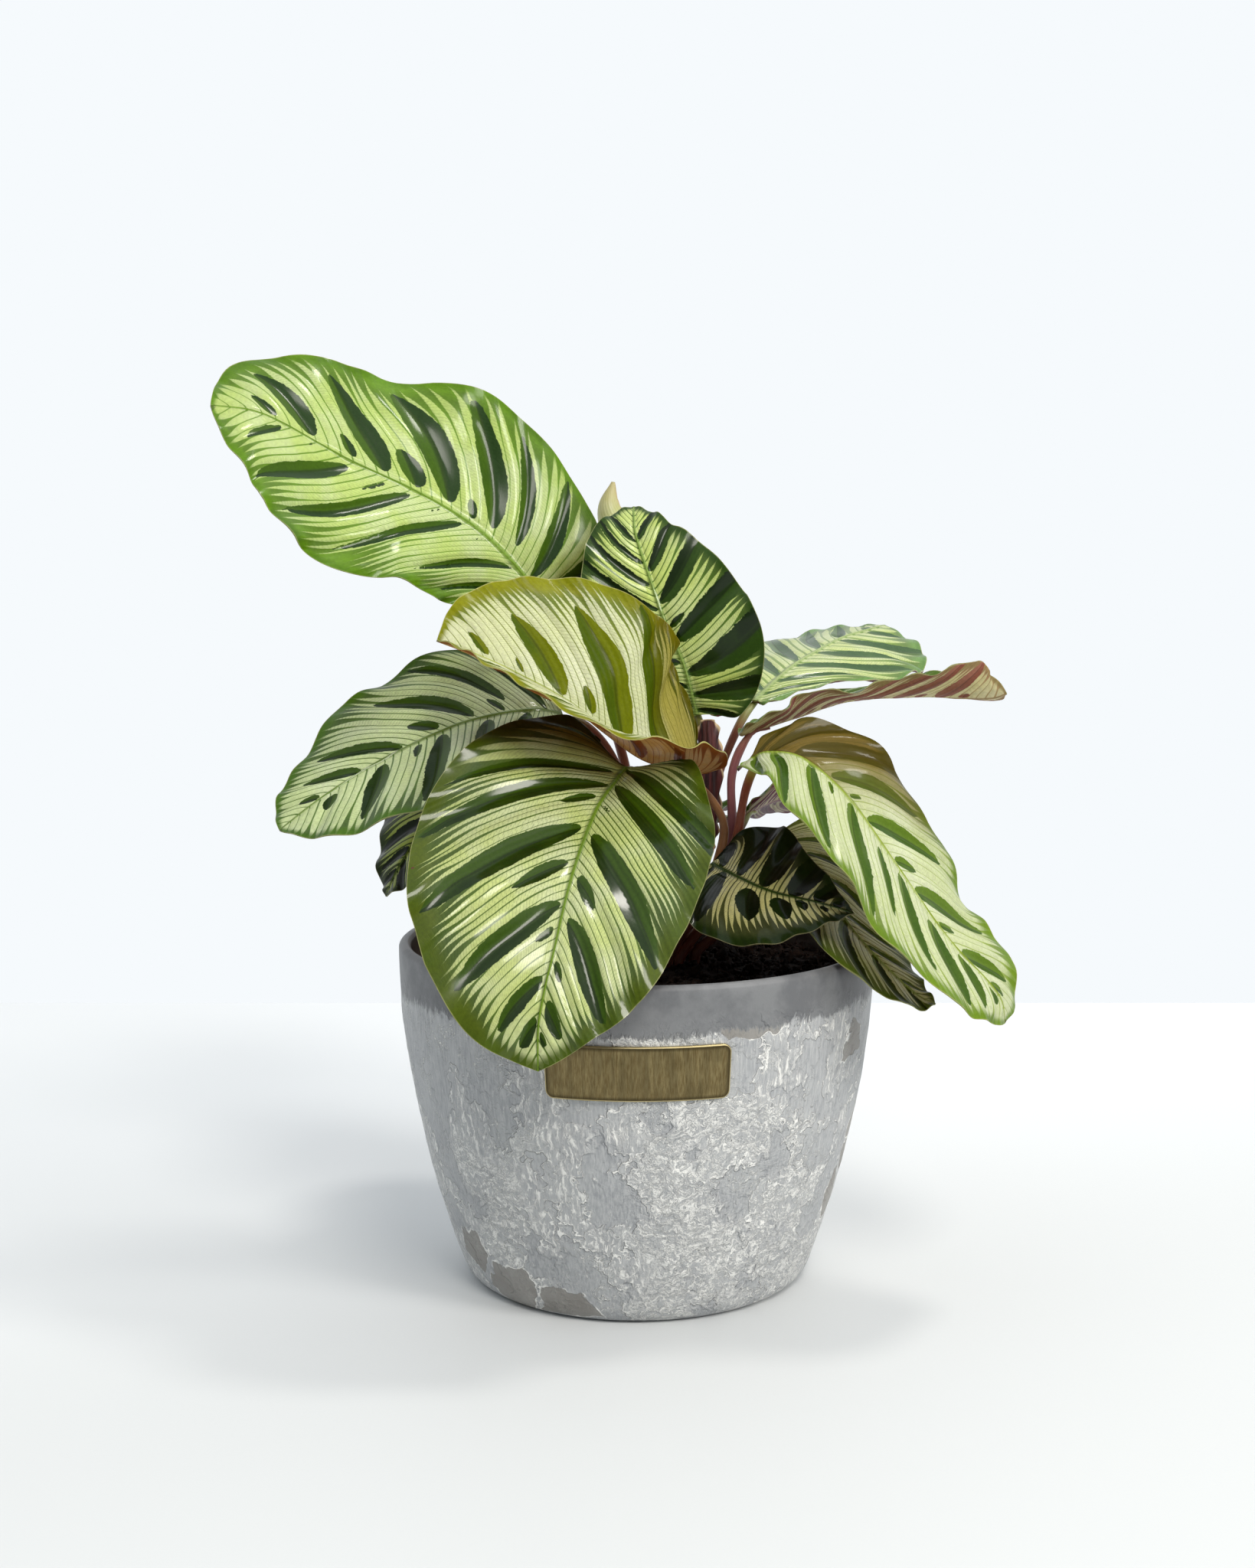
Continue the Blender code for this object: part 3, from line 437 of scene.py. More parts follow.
# Stripes of each leaf: how many side veins, half width of the green line along a side vein as a share of
# their distance, where the pale stripes end on the way to the margin, the length over which they narrow,
# and the width of the plain margin in millimetres
STRIPES = {
    "top_left": (40, 0.060, 1.00, 0.45, 2.6),
    "top_centre": (44, 0.100, 1.04, 0.50, 2.2),
    "upper_front": (40, 0.055, 0.98, 0.36, 4.0),
    "front": (44, 0.090, 0.97, 0.42, 5.0),
    "left": (42, 0.080, 1.05, 0.40, 2.0),
    "low_left": (44, 0.170, 1.06, 0.70, 2.0),
    "right": (44, 0.050, 1.05, 0.35, 2.8),
    "low_front_right": (36, 0.120, 0.86, 0.45, 3.6),
    "back_right": (26, 0.150, 0.98, 0.50, 1.5),
    "low_right": (40, 0.080, 1.04, 0.60, 1.5),
    "usual": (44, 0.080, 1.02, 0.45, 2.0),
}

# Painted shade near the stalk of some blades: (side of the midrib, side vein where the painted shade is full,
# side vein where it ends, colour that it is multiplied by, how far stripes and lobes fade into one olive)
PAINTED_SHADE_NEAR_STALK = {
    "top_left": ("right", 0.06, 0.26, "#a89a5c", 0.0),
    "upper_front": ("right", 0.10, 0.34, "#c6b670", 0.0),
    "front": ("right", -0.16, 0.06, "#7c5c30", 0.0),
    "right": ("left", 0.26, 0.56, "#a88850", 0.55),
}

# What stripes and lobes fade into under the painted shade
SHADE_OLIVE = "#a0a458"

# Colours of each leaf: pale ground, side veins, dark lobe, its other side in painted light and shade, margin,
# midrib. Besides each leaf's own colouring, the palettes hold painted shade: leaves lying in shade, such as
# low_left and low_front_right, are painted darker
GREENS = {
    "top_left": ("#d2ea88", "#6a981c", "#4a6e0c", "#284716", "#6e9f10", "#8fb644"),
    "top_centre": ("#e8fc90", "#4f7a1a", "#1a2e0c", "#33520c", "#335410", "#9fbf60"),
    "upper_front": ("#eef6c6", "#7c9010", "#546a04", "#7c8704", "#969a04", "#ccd66b"),
    "front": ("#dcea96", "#4a6c0c", "#203806", "#3e5c08", "#586a0a", "#86a935"),
    "left": ("#eafcbc", "#527b1f", "#1f380b", "#41600b", "#558115", "#86a150"),
    "low_left": ("#c8e05c", "#30480b", "#101a05", "#1a2a08", "#334917", "#6a8535"),
    "right": ("#e4eebc", "#a2bb50", "#47691a", "#6a8a26", "#7a9d1a", "#a8bd49"),
    "low_front_right": ("#f8f2a0", "#36480a", "#0e1a03", "#1c3006", "#203608", "#3c5617"),
    "low_right": ("#f8ffb8", "#8a9c34", "#3a4c0c", "#6a8420", "#6c8420", "#b8cc72"),
    "back_right": ("#e0f0a0", "#8cac58", "#54744c", "#6c8c54", "#7ca95c", "#b8cd8b"),
    "rolled_right": ("#c8da92", "#6c8b39", "#3c5817", "#506d24", "#648532", "#98af5a"),
    "usual": ("#d6ea92", "#558124", "#223e0b", "#41650b", "#50790b", "#86a943"),
}

# Clear coat of each leaf; the usual leaf is glossy
COATS = {"top_left": 0.5, "upper_front": 0.12, "front": 0.8, "right": 0.35, "low_right": 0.3, "usual": 0.6}

# Colours of the undersides: ground, side veins, lobe, its other side in painted light and shade, margin,
# midrib
PURPLES = {
    "upper_front": ("#dca868", "#a8602c", "#8a3c12", "#a3521c", "#b0682a", "#c0a060"),
    "rolled_right": ("#f4eab4", "#c8a878", "#a0604c", "#b47864", "#a89460", "#c0a478"),
    "low_back_right": ("#d2c8a0", "#94606a", "#6a2c44", "#7e4458", "#84485a", "#a0707c"),
    "usual": ("#b3a06c", "#86504c", "#632a34", "#773c3f", "#6a383c", "#8f7250"),
}

# Colours of the stalks: near the soil, further up, and the joint under the blade
STALK_COLOURS = {
    "upper_front": ("#5b2a1c", "#8a5a30", "#a87040"),
    "right": ("#6d2c1c", "#a04a2c", "#b8b040"),
    "rolled_right": ("#5b2a30", "#8c5058", "#7a3f38"),
    "young_leaf": ("#6a4030", "#a8a060", "#c8cc88"),
    "usual": ("#552420", "#7a3c2c", "#7c8440"),
}

# Roughness of a blade's skin, share of the light that comes through it, and the tint of that light
UPPER_SKIN = (0.34, 0.36, "#eef7a8")
UNDER_SKIN = (0.45, 0.34, "#f4d488")
UNDER_COAT = 0.15

# Lobes of a leaf that has none in MARKS, large and small by turns: the step from one large lobe to the
# next, then the half width, start and end of a large one and of a small one
USUAL_STEP = 0.118
USUAL_LARGE = (0.036, 0.05, 1.1)
USUAL_SMALL = (0.013, 0.04, 0.26)
USUAL_LEAN = (0.3, 0.3)

# Half width of a midrib: at the tip, how much wider it is at the stalk, and the power of the taper
RIB_WIDTH = (0.00025, 0.0007, 0.8)

# Relief of a blade; the hollows of the lobes have their depth on a blade of this length
LOBE_VALLEY = 0.0023
LOBE_VALLEY_LENGTH = 0.14
MARGIN_RIPPLE = 0.0009
RIPPLES = 7
RIB_RIDGE = 0.0004
KEEL = 0.0011
MARGIN_THINNING = 0.55

# Added to the side veins of the left half, so that the two halves differ in the materials
LEFT_OFFSET = 4

# A stalk starts this far above the bottom of its hole, and stands straight to this far above the soil
STALK_START = 0.0005
STALK_STRAIGHT = 0.001

# Two points of a stalk under its blade, as distances along the midrib and below it
STALK_SEAT = (0.0035, 0.0016)
STALK_RUNOUT = (0.012, 0.0012)

# Form of a stalk along its length: the waist as (depth, place, width), the thin end as (length, least
# radius, power), and the ribs as (number, height). Depth, least radius and height are shares of the radius.
STALK_WAIST = (0.12, 0.72, 0.06)
STALK_THIN_END = (0.13, 0.28, 0.7)
STALK_RIBS = (5, 0.035)

# Grids of the fine pieces
CURVE_STEPS = 24
RIB_SAMPLES = 160
LEAF_ROWS = 116
LEAF_HALF_COLUMNS = 27
SHEATH_ROWS = 60
SHEATH_HALF_COLUMNS = 14
COLUMN_CROWDING = 1.5
STALK_RINGS = 60
STALK_SIDES = 22
ROLL_RINGS = 70
ROLL_SIDES = 48
POT_SIDES = 256
SOIL_SIDES = 180
SOIL_RINGS = 60

# Turns of the free edge round the rolled leaf, from its foot to its tip, and how the radius grows round
# the roll, as (share where it is least, growth in one turn)
ROLL_TURNS = 0.55
ROLL_GROWTH = (0.88, 0.14)

# Heights of the rings of points on the pot: in the foot's corner, then up the wall as (from, to, number
# of rings), and down the inside. The lip's rings lie on an arc, in radians as (from, to, number of rings).
FOOT_HEIGHTS = (0, 0.0002, 0.0005, 0.001, 0.0016, 0.0024, 0.0034, 0.0046, 0.0062)
WALL_HEIGHTS = (0.0075, 0.1245, 88)
INSIDE_HEIGHTS = (0.1225, 0.115, 0.105, 0.080, 0.050, 0.025, FLOOR)
LIP_ARC = (0.2, 2.95, 12)

# How strongly the pot's outside swells and sinks, between which heights it does, how far above the lower
# and below the upper one it is in full, and the scale of its noise
SWELL = 0.00035
SWELL_HEIGHTS = (0.002, 0.112)
SWELL_FADES = (0.006, 0.008)
SWELL_SCALE = 55

# Points of the pot: they are on its outside up to this depth behind the outer face, on its inside, which gets
# painted shade, from the second depth on and above that height, and at its front where -Y is this close to
# their radius
OUTSIDE_DEPTH = 0.0005
INSIDE_DEPTH = 0.0032
INSIDE_HEIGHT = 0.003
FRONT_REACH = 0.003

# The plain band under the rim begins where the height, with 0 to 22 mm of noise added, passes these
BAND_START = (0.1215, 0.1240)

# The plate's edge from its back to its face: how far each ring lies inwards, and its share of the thickness
PLATE_RINGS = [(0.0, 0.0), (0.0, 0.55), (0.00012, 0.82), (0.00034, 0.96), (0.0006, 1.0), (0.001, 1.0)]

# The rings that fill the plate's face and its back, as shares of the way from the middle line out
PLATE_FILL = (0.85, 0.6, 0.35, 0.0)

# Points round the plate's outline: on a corner, on a long side and on a short side; and the smallest
# radius that a corner keeps as the outline moves inwards
CORNER_POINTS = 9
LONG_SIDE_POINTS = 60
SHORT_SIDE_POINTS = 14
LEAST_CORNER = 0.0004

# Soil: the gap to the pot's wall, the heights of its rings of points up that wall, the height and the
# scale of its lumps, how far the top is lowered for the crumbs, and how fast the lumps end at the wall
SOIL_GAP = 0.0007
SOIL_HEIGHTS = (FLOOR + 0.0003, 0.025, 0.060, 0.095, SOIL_LEVEL - 0.001)
SOIL_LUMPS = 0.0016
SOIL_LUMP_SCALE = 130
SOIL_LOWERED = 0.0006
SOIL_EDGE = 12

# Crumbs: how many, the smallest and the largest size, and how finely the ball is divided; then how far
# out they lie, as a share of the soil's radius, and the seed of their draw
CRUMBS = ((620, 0.0012, 0.0026, 2), (2300, 0.0005, 0.0012, 1))
CRUMB_LIMIT = 0.965
SEED = 11

# Form of a crumb, in shares of its size: how uneven it is, from how flat to how long it gets along each
# axis, and how far its centre is above the soil
CRUMB_UNEVENNESS = 0.28
CRUMB_STRETCH = (0.45, 1.2)
CRUMB_LIFT = 0.15

# The table: its back edge lies where the photo has it, and it reaches as far to the left as to the right
TABLE_BACK = 0.454
TABLE_FRONT = -2.2
TABLE_SIDE = 3.0
TABLE_DEPTH = 0.02

# Painted light: it is painted paler towards its back and left, while Y plus the slant times X goes from here
# to here
TABLE_SLANT = -0.45
TABLE_PAINTED_LIGHT = (-0.12, 0.34)

# Strength of the white room: DIM_ROOM in front of the plant and below, and brighter towards the back and
# the top, as (axis, direction where it starts to brighten, direction where it is full, strength there)
DIM_ROOM = 0.24
BRIGHT_ROOM = ((1, -0.2, 0.6, 1.0), (2, 0.25, 0.75, 0.80))

# Round lights: name, place, the point they aim at, size, power, colour
LIGHTS = (
    ("window_right", (2.20, -1.50, 1.55), (0.0, 0.0, 0.18), 0.88, 42.0, "#fffaf4"),
    ("softbox_above", (0.45, 0.05, 1.30), (0.0, 0.0, 0.2), 0.22, 4.0, "#fffaf2"),
    ("softbox_front", (0.50, -1.75, 2.05), (0.0, 0.0, 0.2), 0.80, 27.0, "#fffaf2"),
)

# The camera, as solved from the photo; it looks down by the tilt
CAMERA_PLACE = (-0.00345, -0.775, 0.278)
CAMERA_TILT = 6.7
LENS = 47.46
SENSOR = 36


def rgb(colour):
    """Linear colour of a hex code."""
    parts = [int(colour[k:k + 2], 16) / 255 for k in (1, 3, 5)]
    return (*[p / 12.92 if p <= 0.04045 else ((p + 0.055) / 1.055) ** 2.4 for p in parts], 1)


class Nodes:
    """Short ways to add nodes to a node tree."""

    def __init__(self, tree):
        self.tree = tree

    def plug(self, socket, value):
        """Links the socket to another one, or gives it a number, a vector or a hex colour."""
        if isinstance(value, bpy.types.NodeSocket):
            self.tree.links.new(value, socket)
        else:
            socket.default_value = rgb(value) if isinstance(value, str) else value

    def node(self, kind, inputs=None, **settings):
        made = self.tree.nodes.new("ShaderNode" + kind)
        for key, value in settings.items():
            setattr(made, key, value)
        for key, value in (inputs or {}).items():
            self.plug(made.inputs[key], value)
        return made

    def calc(self, operation, *values):
        return self.node("Math", dict(enumerate(values)), operation=operation).outputs[0]

    def plus(self, first, second):
        return self.calc("ADD", first, second)

    def minus(self, first, second):
        return self.calc("SUBTRACT", first, second)

    def times(self, first, second):
        return self.calc("MULTIPLY", first, second)

    def scaled(self, value, factor, added):
        """The value times the factor, with something added."""
        return self.calc("MULTIPLY_ADD", value, factor, added)

    def larger(self, first, second):
        return self.calc("MAXIMUM", first, second)

    def smooth(self, value, low, high, first=0.0, last=1.0):
        """Smooth step from first, at low, to last, at high."""
        inputs = {0: value, 1: low, 2: high, 3: first, 4: last}
        return self.node("MapRange", inputs, interpolation_type="SMOOTHSTEP").outputs[0]

    def near(self, value, centre, close, far):
        """1 where the value is within close of the centre, falling to 0 at far from it."""
        away = self.calc("ABSOLUTE", self.minus(value, centre))
        return self.smooth(away, close, far, 1.0, 0.0)

    def parts(self, vector):
        """The three numbers of a vector."""
        return self.node("SeparateXYZ", {0: vector}).outputs


class Shade(Nodes):
    """A node material under construction."""

    def __init__(self, name):
        self.material = bpy.data.materials.new(name)
        self.material.use_nodes = True
        super().__init__(self.material.node_tree)
        self.tree.nodes.clear()
        self.output = self.node("OutputMaterial")

    def mix(self, share, first, last, blend="MIX"):
        made = self.node("Mix", {0: share, 6: first, 7: last}, data_type="RGBA", blend_type=blend)
        return made.outputs[2]

    def fade(self, value, low, high, first, last):
        """The first colour where the value is low, turning into the last where it is high."""
        return self.mix(self.smooth(value, low, high), first, last)

    def noise(self, scale, detail, roughness, vector=None, along=None):
        """Noise at a point, or along one number."""
        made = self.node("TexNoise", {"Scale": scale, "Detail": detail, "Roughness": roughness})
        if along is None:
            self.plug(made.inputs["Vector"], vector)
        else:
            made.noise_dimensions = "1D"
            self.plug(made.inputs["W"], along)
        return made.outputs[0]

    def streaks(self, scales, detail, roughness, vector):
        """Noise with a scale of its own along each axis."""
        stretched = self.node("Mapping", {"Vector": vector, "Scale": scales}).outputs[0]
        return self.noise(1, detail, roughness, stretched)

    def random(self, number):
        """A random value from 0 to 1 that belongs to the number."""
        return self.node("TexWhiteNoise", {"W": number}, noise_dimensions="1D").outputs[0]

    def vectors(self, operation, *values):
        return self.node("VectorMath", dict(enumerate(values)), operation=operation).outputs[0]

    def place(self):
        """The point on the piece, in metres."""
        return self.node("TexCoord").outputs["Object"]

    def numbers(self, attribute):
        """The three numbers of a vector attribute of the mesh."""
        return self.parts(self.node("Attribute", attribute_name=attribute).outputs["Vector"])

    def bump(self, height, distance, strength, under=None):
        """The normal of a relief, which may lie on a coarser one."""
        inputs = {"Strength": strength, "Distance": distance, "Height": height}
        if under is not None:
            inputs["Normal"] = under
        return self.node("Bump", inputs).outputs[0]

    def surface(self, **inputs):
        """A Principled shader; an underscore in a name stands for a space."""
        named = {key.replace("_", " "): value for key, value in inputs.items()}
        return self.node("BsdfPrincipled", named).outputs[0]

    def lit_through(self, skin, share, colour, **more):
        """The skin, with a share of light that comes through from the other side."""
        through = self.node("BsdfTranslucent", {"Color": colour, **more}).outputs[0]
        return self.node("MixShader", {0: share, 1: skin, 2: through}).outputs[0]

    def done(self, shader):
        self.tree.links.new(shader, self.output.inputs[0])
        return self.material


def add_object(name, data):
    """A new object of the scene."""
    made = bpy.data.objects.new(name, data)
    bpy.context.scene.collection.objects.link(made)
    return made


def new_mesh(name, points, faces, materials):
    mesh = bpy.data.meshes.new(name)
    mesh.from_pydata(np.asarray(points, float).tolist(), [], faces)
    for finish in materials:
        mesh.materials.append(finish)
    return mesh


def ring_faces(rings, sides, first=0):
    """Faces between closed rings of points; the points follow one another from the first on."""
    faces = []
    for ring in range(rings - 1):
        start = first + ring * sides
        for k in range(sides):
            a, b = start + k, start + (k + 1) % sides
            faces.append((a, b, b + sides, a + sides))
    return faces


def angles_round(sides):
    return np.arange(sides) * 2 * math.pi / sides


def add_piece(name, points, faces, materials, node_names, sharp=50, fields=None, chosen=None):
    """A piece that stands for CAD nodes: its mesh, its materials and its place in the frame."""
    mesh = new_mesh(name, points, faces, materials)
    for key, values in (fields or {}).items():
        attribute = mesh.attributes.new(key, "FLOAT_VECTOR", "POINT")
        attribute.data.foreach_set("vector", np.asarray(values, np.float32).ravel())
    if chosen is not None:
        mesh.polygons.foreach_set("material_index", np.asarray(chosen, np.int32))
    mesh.shade_smooth()
    mesh.set_sharp_from_angle(angle=math.radians(sharp))
    mesh.update()
    piece = add_object(name, mesh)
    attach(piece, "root")
    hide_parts(*node_names)


def bell(value, width):
    """1 at 0, falling off smoothly on both sides over about this width."""
    return np.exp(-((value / width) ** 2))


def unit(vectors):
    return vectors / np.linalg.norm(vectors, axis=-1, keepdims=True)


def with_ends(values):
    """The values with one more at each end, straight on."""
    return np.vstack([2 * values[0] - values[1], values, 2 * values[-1] - values[-2]])


def between(a, b, c, d, t):
    """The point at share t of the way from b to c on a Catmull-Rom curve through the four."""
    return 0.5 * (2 * b + (c - a) * t + (2 * a - 5 * b + 4 * c - d) * t**2 + (3 * b - a - 3 * c + d) * t**3)


def smooth_curve(points):
    """Points along a smooth curve through the given ones."""
    p = with_ends(np.array(points, float))
    t = np.linspace(0, 1, CURVE_STEPS, endpoint=False)[:, None]
    curve = [between(*four, t) for four in zip(p, p[1:], p[2:], p[3:])]
    return np.vstack([*curve, p[-2:-1]])


def at_stations(values, where):
    """Smooth values between even stations, at shares from 0 to 1 of the way."""
    v = with_ends(np.array(values, float).reshape(len(values), -1))
    place = np.clip(where, 0, 1) * (len(v) - 3)
    first = np.clip(place.astype(int), 0, len(v) - 4)
    t = (place - first)[:, None]
    return between(v[first], v[first + 1], v[first + 2], v[first + 3], t)


def distances(curve):
    """How far each point of a curve is from its start, along the curve."""
    steps = np.linalg.norm(np.diff(curve, axis=0), axis=1)
    return np.concatenate([[0], np.cumsum(steps)])


def along_curve(where, run, curve):
    """The points of a curve at these distances from its start."""
    return np.stack([np.interp(where, run, curve[:, k]) for k in range(curve.shape[1])], -1)


def flat_outline(row, outline):
    """Where a side vein that starts at this row ends: its share of the length, and of the half width."""
    broad, lobes, tip, roundness = outline
    along = (1 - np.cos(np.pi * row)) / 2 * (1 - tip) + tip * row**9
    along = along - lobes * bell(row - 0.13, 0.08) * (1 - bell(row, 0.05))
    out = np.clip(np.sin(np.pi * row), 0, 1) ** roundness * (1 + broad * np.cos(np.pi * row))
    return along, out


def blade_surface(leaf, row, column):
    """The blade's middle surface by row and column, with the distances from the midrib and the margin."""
    leaf = {**USUAL_FORM, **leaf}
    curve = smooth_curve(leaf["midrib"])
    run = distances(curve)
    length = run[-1]
    half = leaf["width"] / 2
    even = np.linspace(0, length, RIB_SAMPLES)
    rib = along_curve(even, run, curve)
    along = unit(np.gradient(rib, axis=0))
    face = at_stations(leaf["face"], even / length)
    up = unit(face - (face * along).sum(1)[:, None] * along)
    side = np.cross(along, up)

    def by_half(pair, where):
        left, right = [at_stations(values, where.ravel())[:, 0].reshape(row.shape) for values in pair]
        return np.where(column < 0, left, right)

    # A side vein starts on the midrib and sweeps forward on its way to the margin
    spread = np.abs(column)
    end, out = flat_outline(row, leaf["outline"])
    start = row**VEIN_START
    reach = (start + (end - start) * spread**VEIN_SWEEP) * length
    limit = out * half * by_half((leaf["left"], leaf["right"]), row)
    across = limit * spread
    place = np.clip(reach / length, 0, 1)

    # Each half is an arc that leaves the midrib at the fold and bends on from there
    fold = np.radians(by_half(leaf["fold"], place))
    bend = np.radians(by_half(leaf["bend"], place)) / half
    bend = np.where(np.abs(bend) < 1e-3, 1e-3, bend)
    turned = fold + bend * across
    outward = (np.sin(turned) - np.sin(fold)) / bend
    upward = (np.cos(fold) - np.cos(turned)) / bend
    height, count, *phases = leaf["waves"]
    wave = height * (across / half) ** 2 * np.sin(2 * np.pi * (count * place + np.where(column < 0, *phases)))
    outward = outward - wave * np.sin(turned)
    upward = upward + wave * np.cos(turned)

    rib, along, side, up = [along_curve(reach, even, values) for values in (rib, along, side, up)]
    points = rib + along * (reach - place * length)[..., None]
    points = points + unit(side) * (np.sign(column) * outward)[..., None]
    return points + unit(up) * upward[..., None], across, limit - across, length


def usual_lobes(phase):
    """Lobes for a half leaf that has none of its own, large and small by turns."""
    lobes = []
    for number in range(8):
        centre = 0.06 + USUAL_STEP * (number + phase)
        lobes.append((centre, *USUAL_LARGE))
        lobes.append((centre + USUAL_STEP / 2, *USUAL_SMALL))
    return [lobe for lobe in lobes if lobe[0] < 0.95]


def lobe_fields(lobes, vein, spread):
    """Height above the nearest lobe's outline, place across it from -1 to 1, and depth of its valley."""
    best = np.full(vein.shape, -1.0)
    across = np.zeros(vein.shape)
    valley = np.zeros(vein.shape)
    for centre, half, start, end in lobes:
        inside = np.clip((spread - start) / (end - start), 0, 1)
        width = half * np.sin(np.pi * inside**0.8) ** 0.62
        away = np.abs(vein - centre)
        beyond = np.maximum(start - spread, spread - end)
        height = width - away - 0.35 * np.clip(beyond, 0, 1)
        nearer = height > best
        best = np.where(nearer, height, best)
        across = np.where(nearer, (vein - centre) / np.maximum(width, 0.004), across)
        tent = np.clip(1 - np.sqrt((away / (1.25 * half + 0.004)) ** 2 + 0.006), 0, 1)
        arch = np.sin(np.pi * np.clip(spread / max(1.05, end), 0, 1)) ** 0.8
        valley = np.maximum(valley, tent * arch * min(1, half / 0.03))
    return best, np.clip(across, -1.5, 1.5), valley


def face_normals(grid):
    """The direction that the upper face looks in; at the base and the tip it is as beside them."""
    middle = grid.shape[1] // 2
    normal = np.zeros(grid.shape)
    normal[1:-1] = -unit(np.cross(np.gradient(grid, axis=0)[1:-1], np.gradient(grid, axis=1)[1:-1]))
    normal[0] = normal[1, middle]
    normal[-1] = normal[-2, middle]
    return normal


def sheet_points(values):
    """The inner rows of a grid, then its single points at the stalk and at the tip."""
    middle = values.shape[1] // 2
    return np.vstack([values[1:-1].reshape(-1, 3), values[0, middle], values[-1, middle]])


def blade_faces(count, wide):
    """Faces of the upper sheet, the underside and the rim between them, and the material of each."""
    base, tip = count * wide, count * wide + 1
    each = tip + 1
    first = (np.arange(count - 1)[:, None] * wide + np.arange(wide - 1)).ravel()
    top = np.stack([first, first + 1, first + wide + 1, first + wide], -1).tolist()
    last = (count - 1) * wide
    for c in range(wide - 1):
        top.append([base, c + 1, c])
        top.append([last + c, last + c + 1, tip])
    bottom = [[corner + each for corner in reversed(face)] for face in top]
    left_edge = [row * wide for row in range(count)]
    right_edge = [start + wide - 1 for start in reversed(left_edge)]
    loop = [base, *left_edge, tip, *right_edge]
    rim = [[p, q, q + each, p + each] for p, q in zip(loop, loop[1:] + loop[:1])]
    return top + bottom + rim, [0] * len(top) + [1] * len(bottom) + [0] * len(rim)


def leaf_mesh(leaf, marks, rows=LEAF_ROWS, half_columns=LEAF_HALF_COLUMNS):
    """Points, faces, their materials and the fields of a closed blade with its ribs and its keel."""
    right = (np.arange(half_columns + 1) / half_columns) ** COLUMN_CROWDING
    columns = np.concatenate([-right[:0:-1], right])
    row, column = np.meshgrid(np.linspace(0, 1, rows), columns, indexing="ij")
    grid, from_rib, from_edge, length = blade_surface(leaf, row, column)
    spread = np.abs(column)
    vein = 1 - (1 - row) * (1 + np.where(column < 0, *marks["lean"]) * spread)
    halves = [lobe_fields(marks[half], vein, spread) for half in ("left", "right")]
    lobe, across, valley = [np.where(column < 0, a, b) for a, b in zip(*halves)]
    thinnest, wider, taper = RIB_WIDTH
    rib_width = thinnest + wider * (1 - row) ** taper
    rib = from_rib / rib_width

    ends = np.clip(np.sin(np.pi * row) * 6, 0, 1)
    ridge = RIB_RIDGE * (bell(rib, 0.9) - 0.7 * bell(rib - 2.6, 1.2))
    ripple = MARGIN_RIPPLE * spread**4 * np.sin(2 * np.pi * RIPPLES * (vein + 0.06 * np.sign(column)))
    relief = (ridge + ripple - LOBE_VALLEY * valley * length / LOBE_VALLEY_LENGTH) * ends
    keel = KEEL * (1 - row) ** 0.7 * bell(from_rib, rib_width * 1.3) * ends
    thick = BLADE_THICKNESS * (1 - MARGIN_THINNING * spread**4)
    normal = face_normals(grid)
    upper = grid + normal * (thick / 2 + relief)[..., None]
    under = grid - normal * (thick / 2 - 0.8 * relief + keel)[..., None]

    # The plain margin is narrower beside the stalk and near the tip, where the blade is
    narrow = np.clip(0.35 * leaf["width"] / np.maximum(from_rib + from_edge, 1e-6), 1, 4)
    narrow = np.where(row < 0.4, narrow, np.where(row > 0.75, np.minimum(1 + 0.6 * (narrow - 1), 2), 1))
    fields = {
        "marks": np.stack([vein + LEFT_OFFSET * (column < 0), spread, lobe * length * 1000], -1),
        "places": np.stack([across, from_edge * 1000 * narrow, rib], -1),
    }
    faces, chosen = blade_faces(rows - 2, len(columns))
    points = np.vstack([sheet_points(upper), sheet_points(under)])
    return points, faces, chosen, {key: np.vstack([sheet_points(v)] * 2) for key, v in fields.items()}


def side_veins(s, vein, broad, lanes):
    """How far a point is from its side vein, from 0 to 0.5, and two random numbers of that side vein."""
    left = s.times(s.calc("GREATER_THAN", vein, 2.0), float(LEFT_OFFSET))
    wander = s.minus(s.scaled(broad, 0.010, vein), left)
    # They lie further apart near the stalk
    wander = s.plus(s.larger(wander, s.scaled(wander, 0.4, 0.06)), left)
    lane = s.scaled(wander, float(lanes), 0.5)
    number = s.calc("FLOOR", lane)
    away = s.calc("ABSOLUTE", s.minus(s.calc("FRACT", lane), 0.5))
    return away, s.random(number), s.random(s.plus(number, 71.3))


def stripe_lines(s, vein, spread, fine, broad, stripes):
    """The lines on the side veins, how far they have broadened, the rungs between, and the distance away."""
    lanes, thin, stripe_end, taper, _ = stripes
    away, own, other = side_veins(s, vein, broad, lanes)
    drift = s.noise(lanes * 0.16, 1, 0.5, along=vein)
    end = s.scaled(own, 0.13, stripe_end - 0.065)
    end = s.scaled(s.minus(drift, 0.5), 0.30, end)
    start = s.minus(end, s.scaled(other, 0.7 * taper, 0.65 * taper))
    broaden = s.node("MapRange", {0: spread, 1: start, 2: end, 3: 0.0, 4: 1.0}).outputs[0]
    broaden = s.calc("POWER", broaden, 2.0)
    rungs = s.plus(s.times(spread, 44.0), s.times(own, 7.0))
    rungs = s.scaled(broad, 5.0, rungs)
    rung = s.smooth(s.calc("PINGPONG", rungs, 0.5), 0.03, 0.15, 1.0, 0.0)
    width = s.times(s.scaled(other, 0.9, 0.55), thin)
    width = s.plus(width, s.times(broaden, 0.56))
    width = s.plus(width, s.times(s.minus(fine, 0.5), 0.10))
    width = s.plus(width, s.times(rung, s.scaled(broaden, 0.05, 0.012)))
    line = s.smooth(s.minus(away, width), -0.045, 0.045, 1.0, 0.0)
    return line, broaden, rung, away


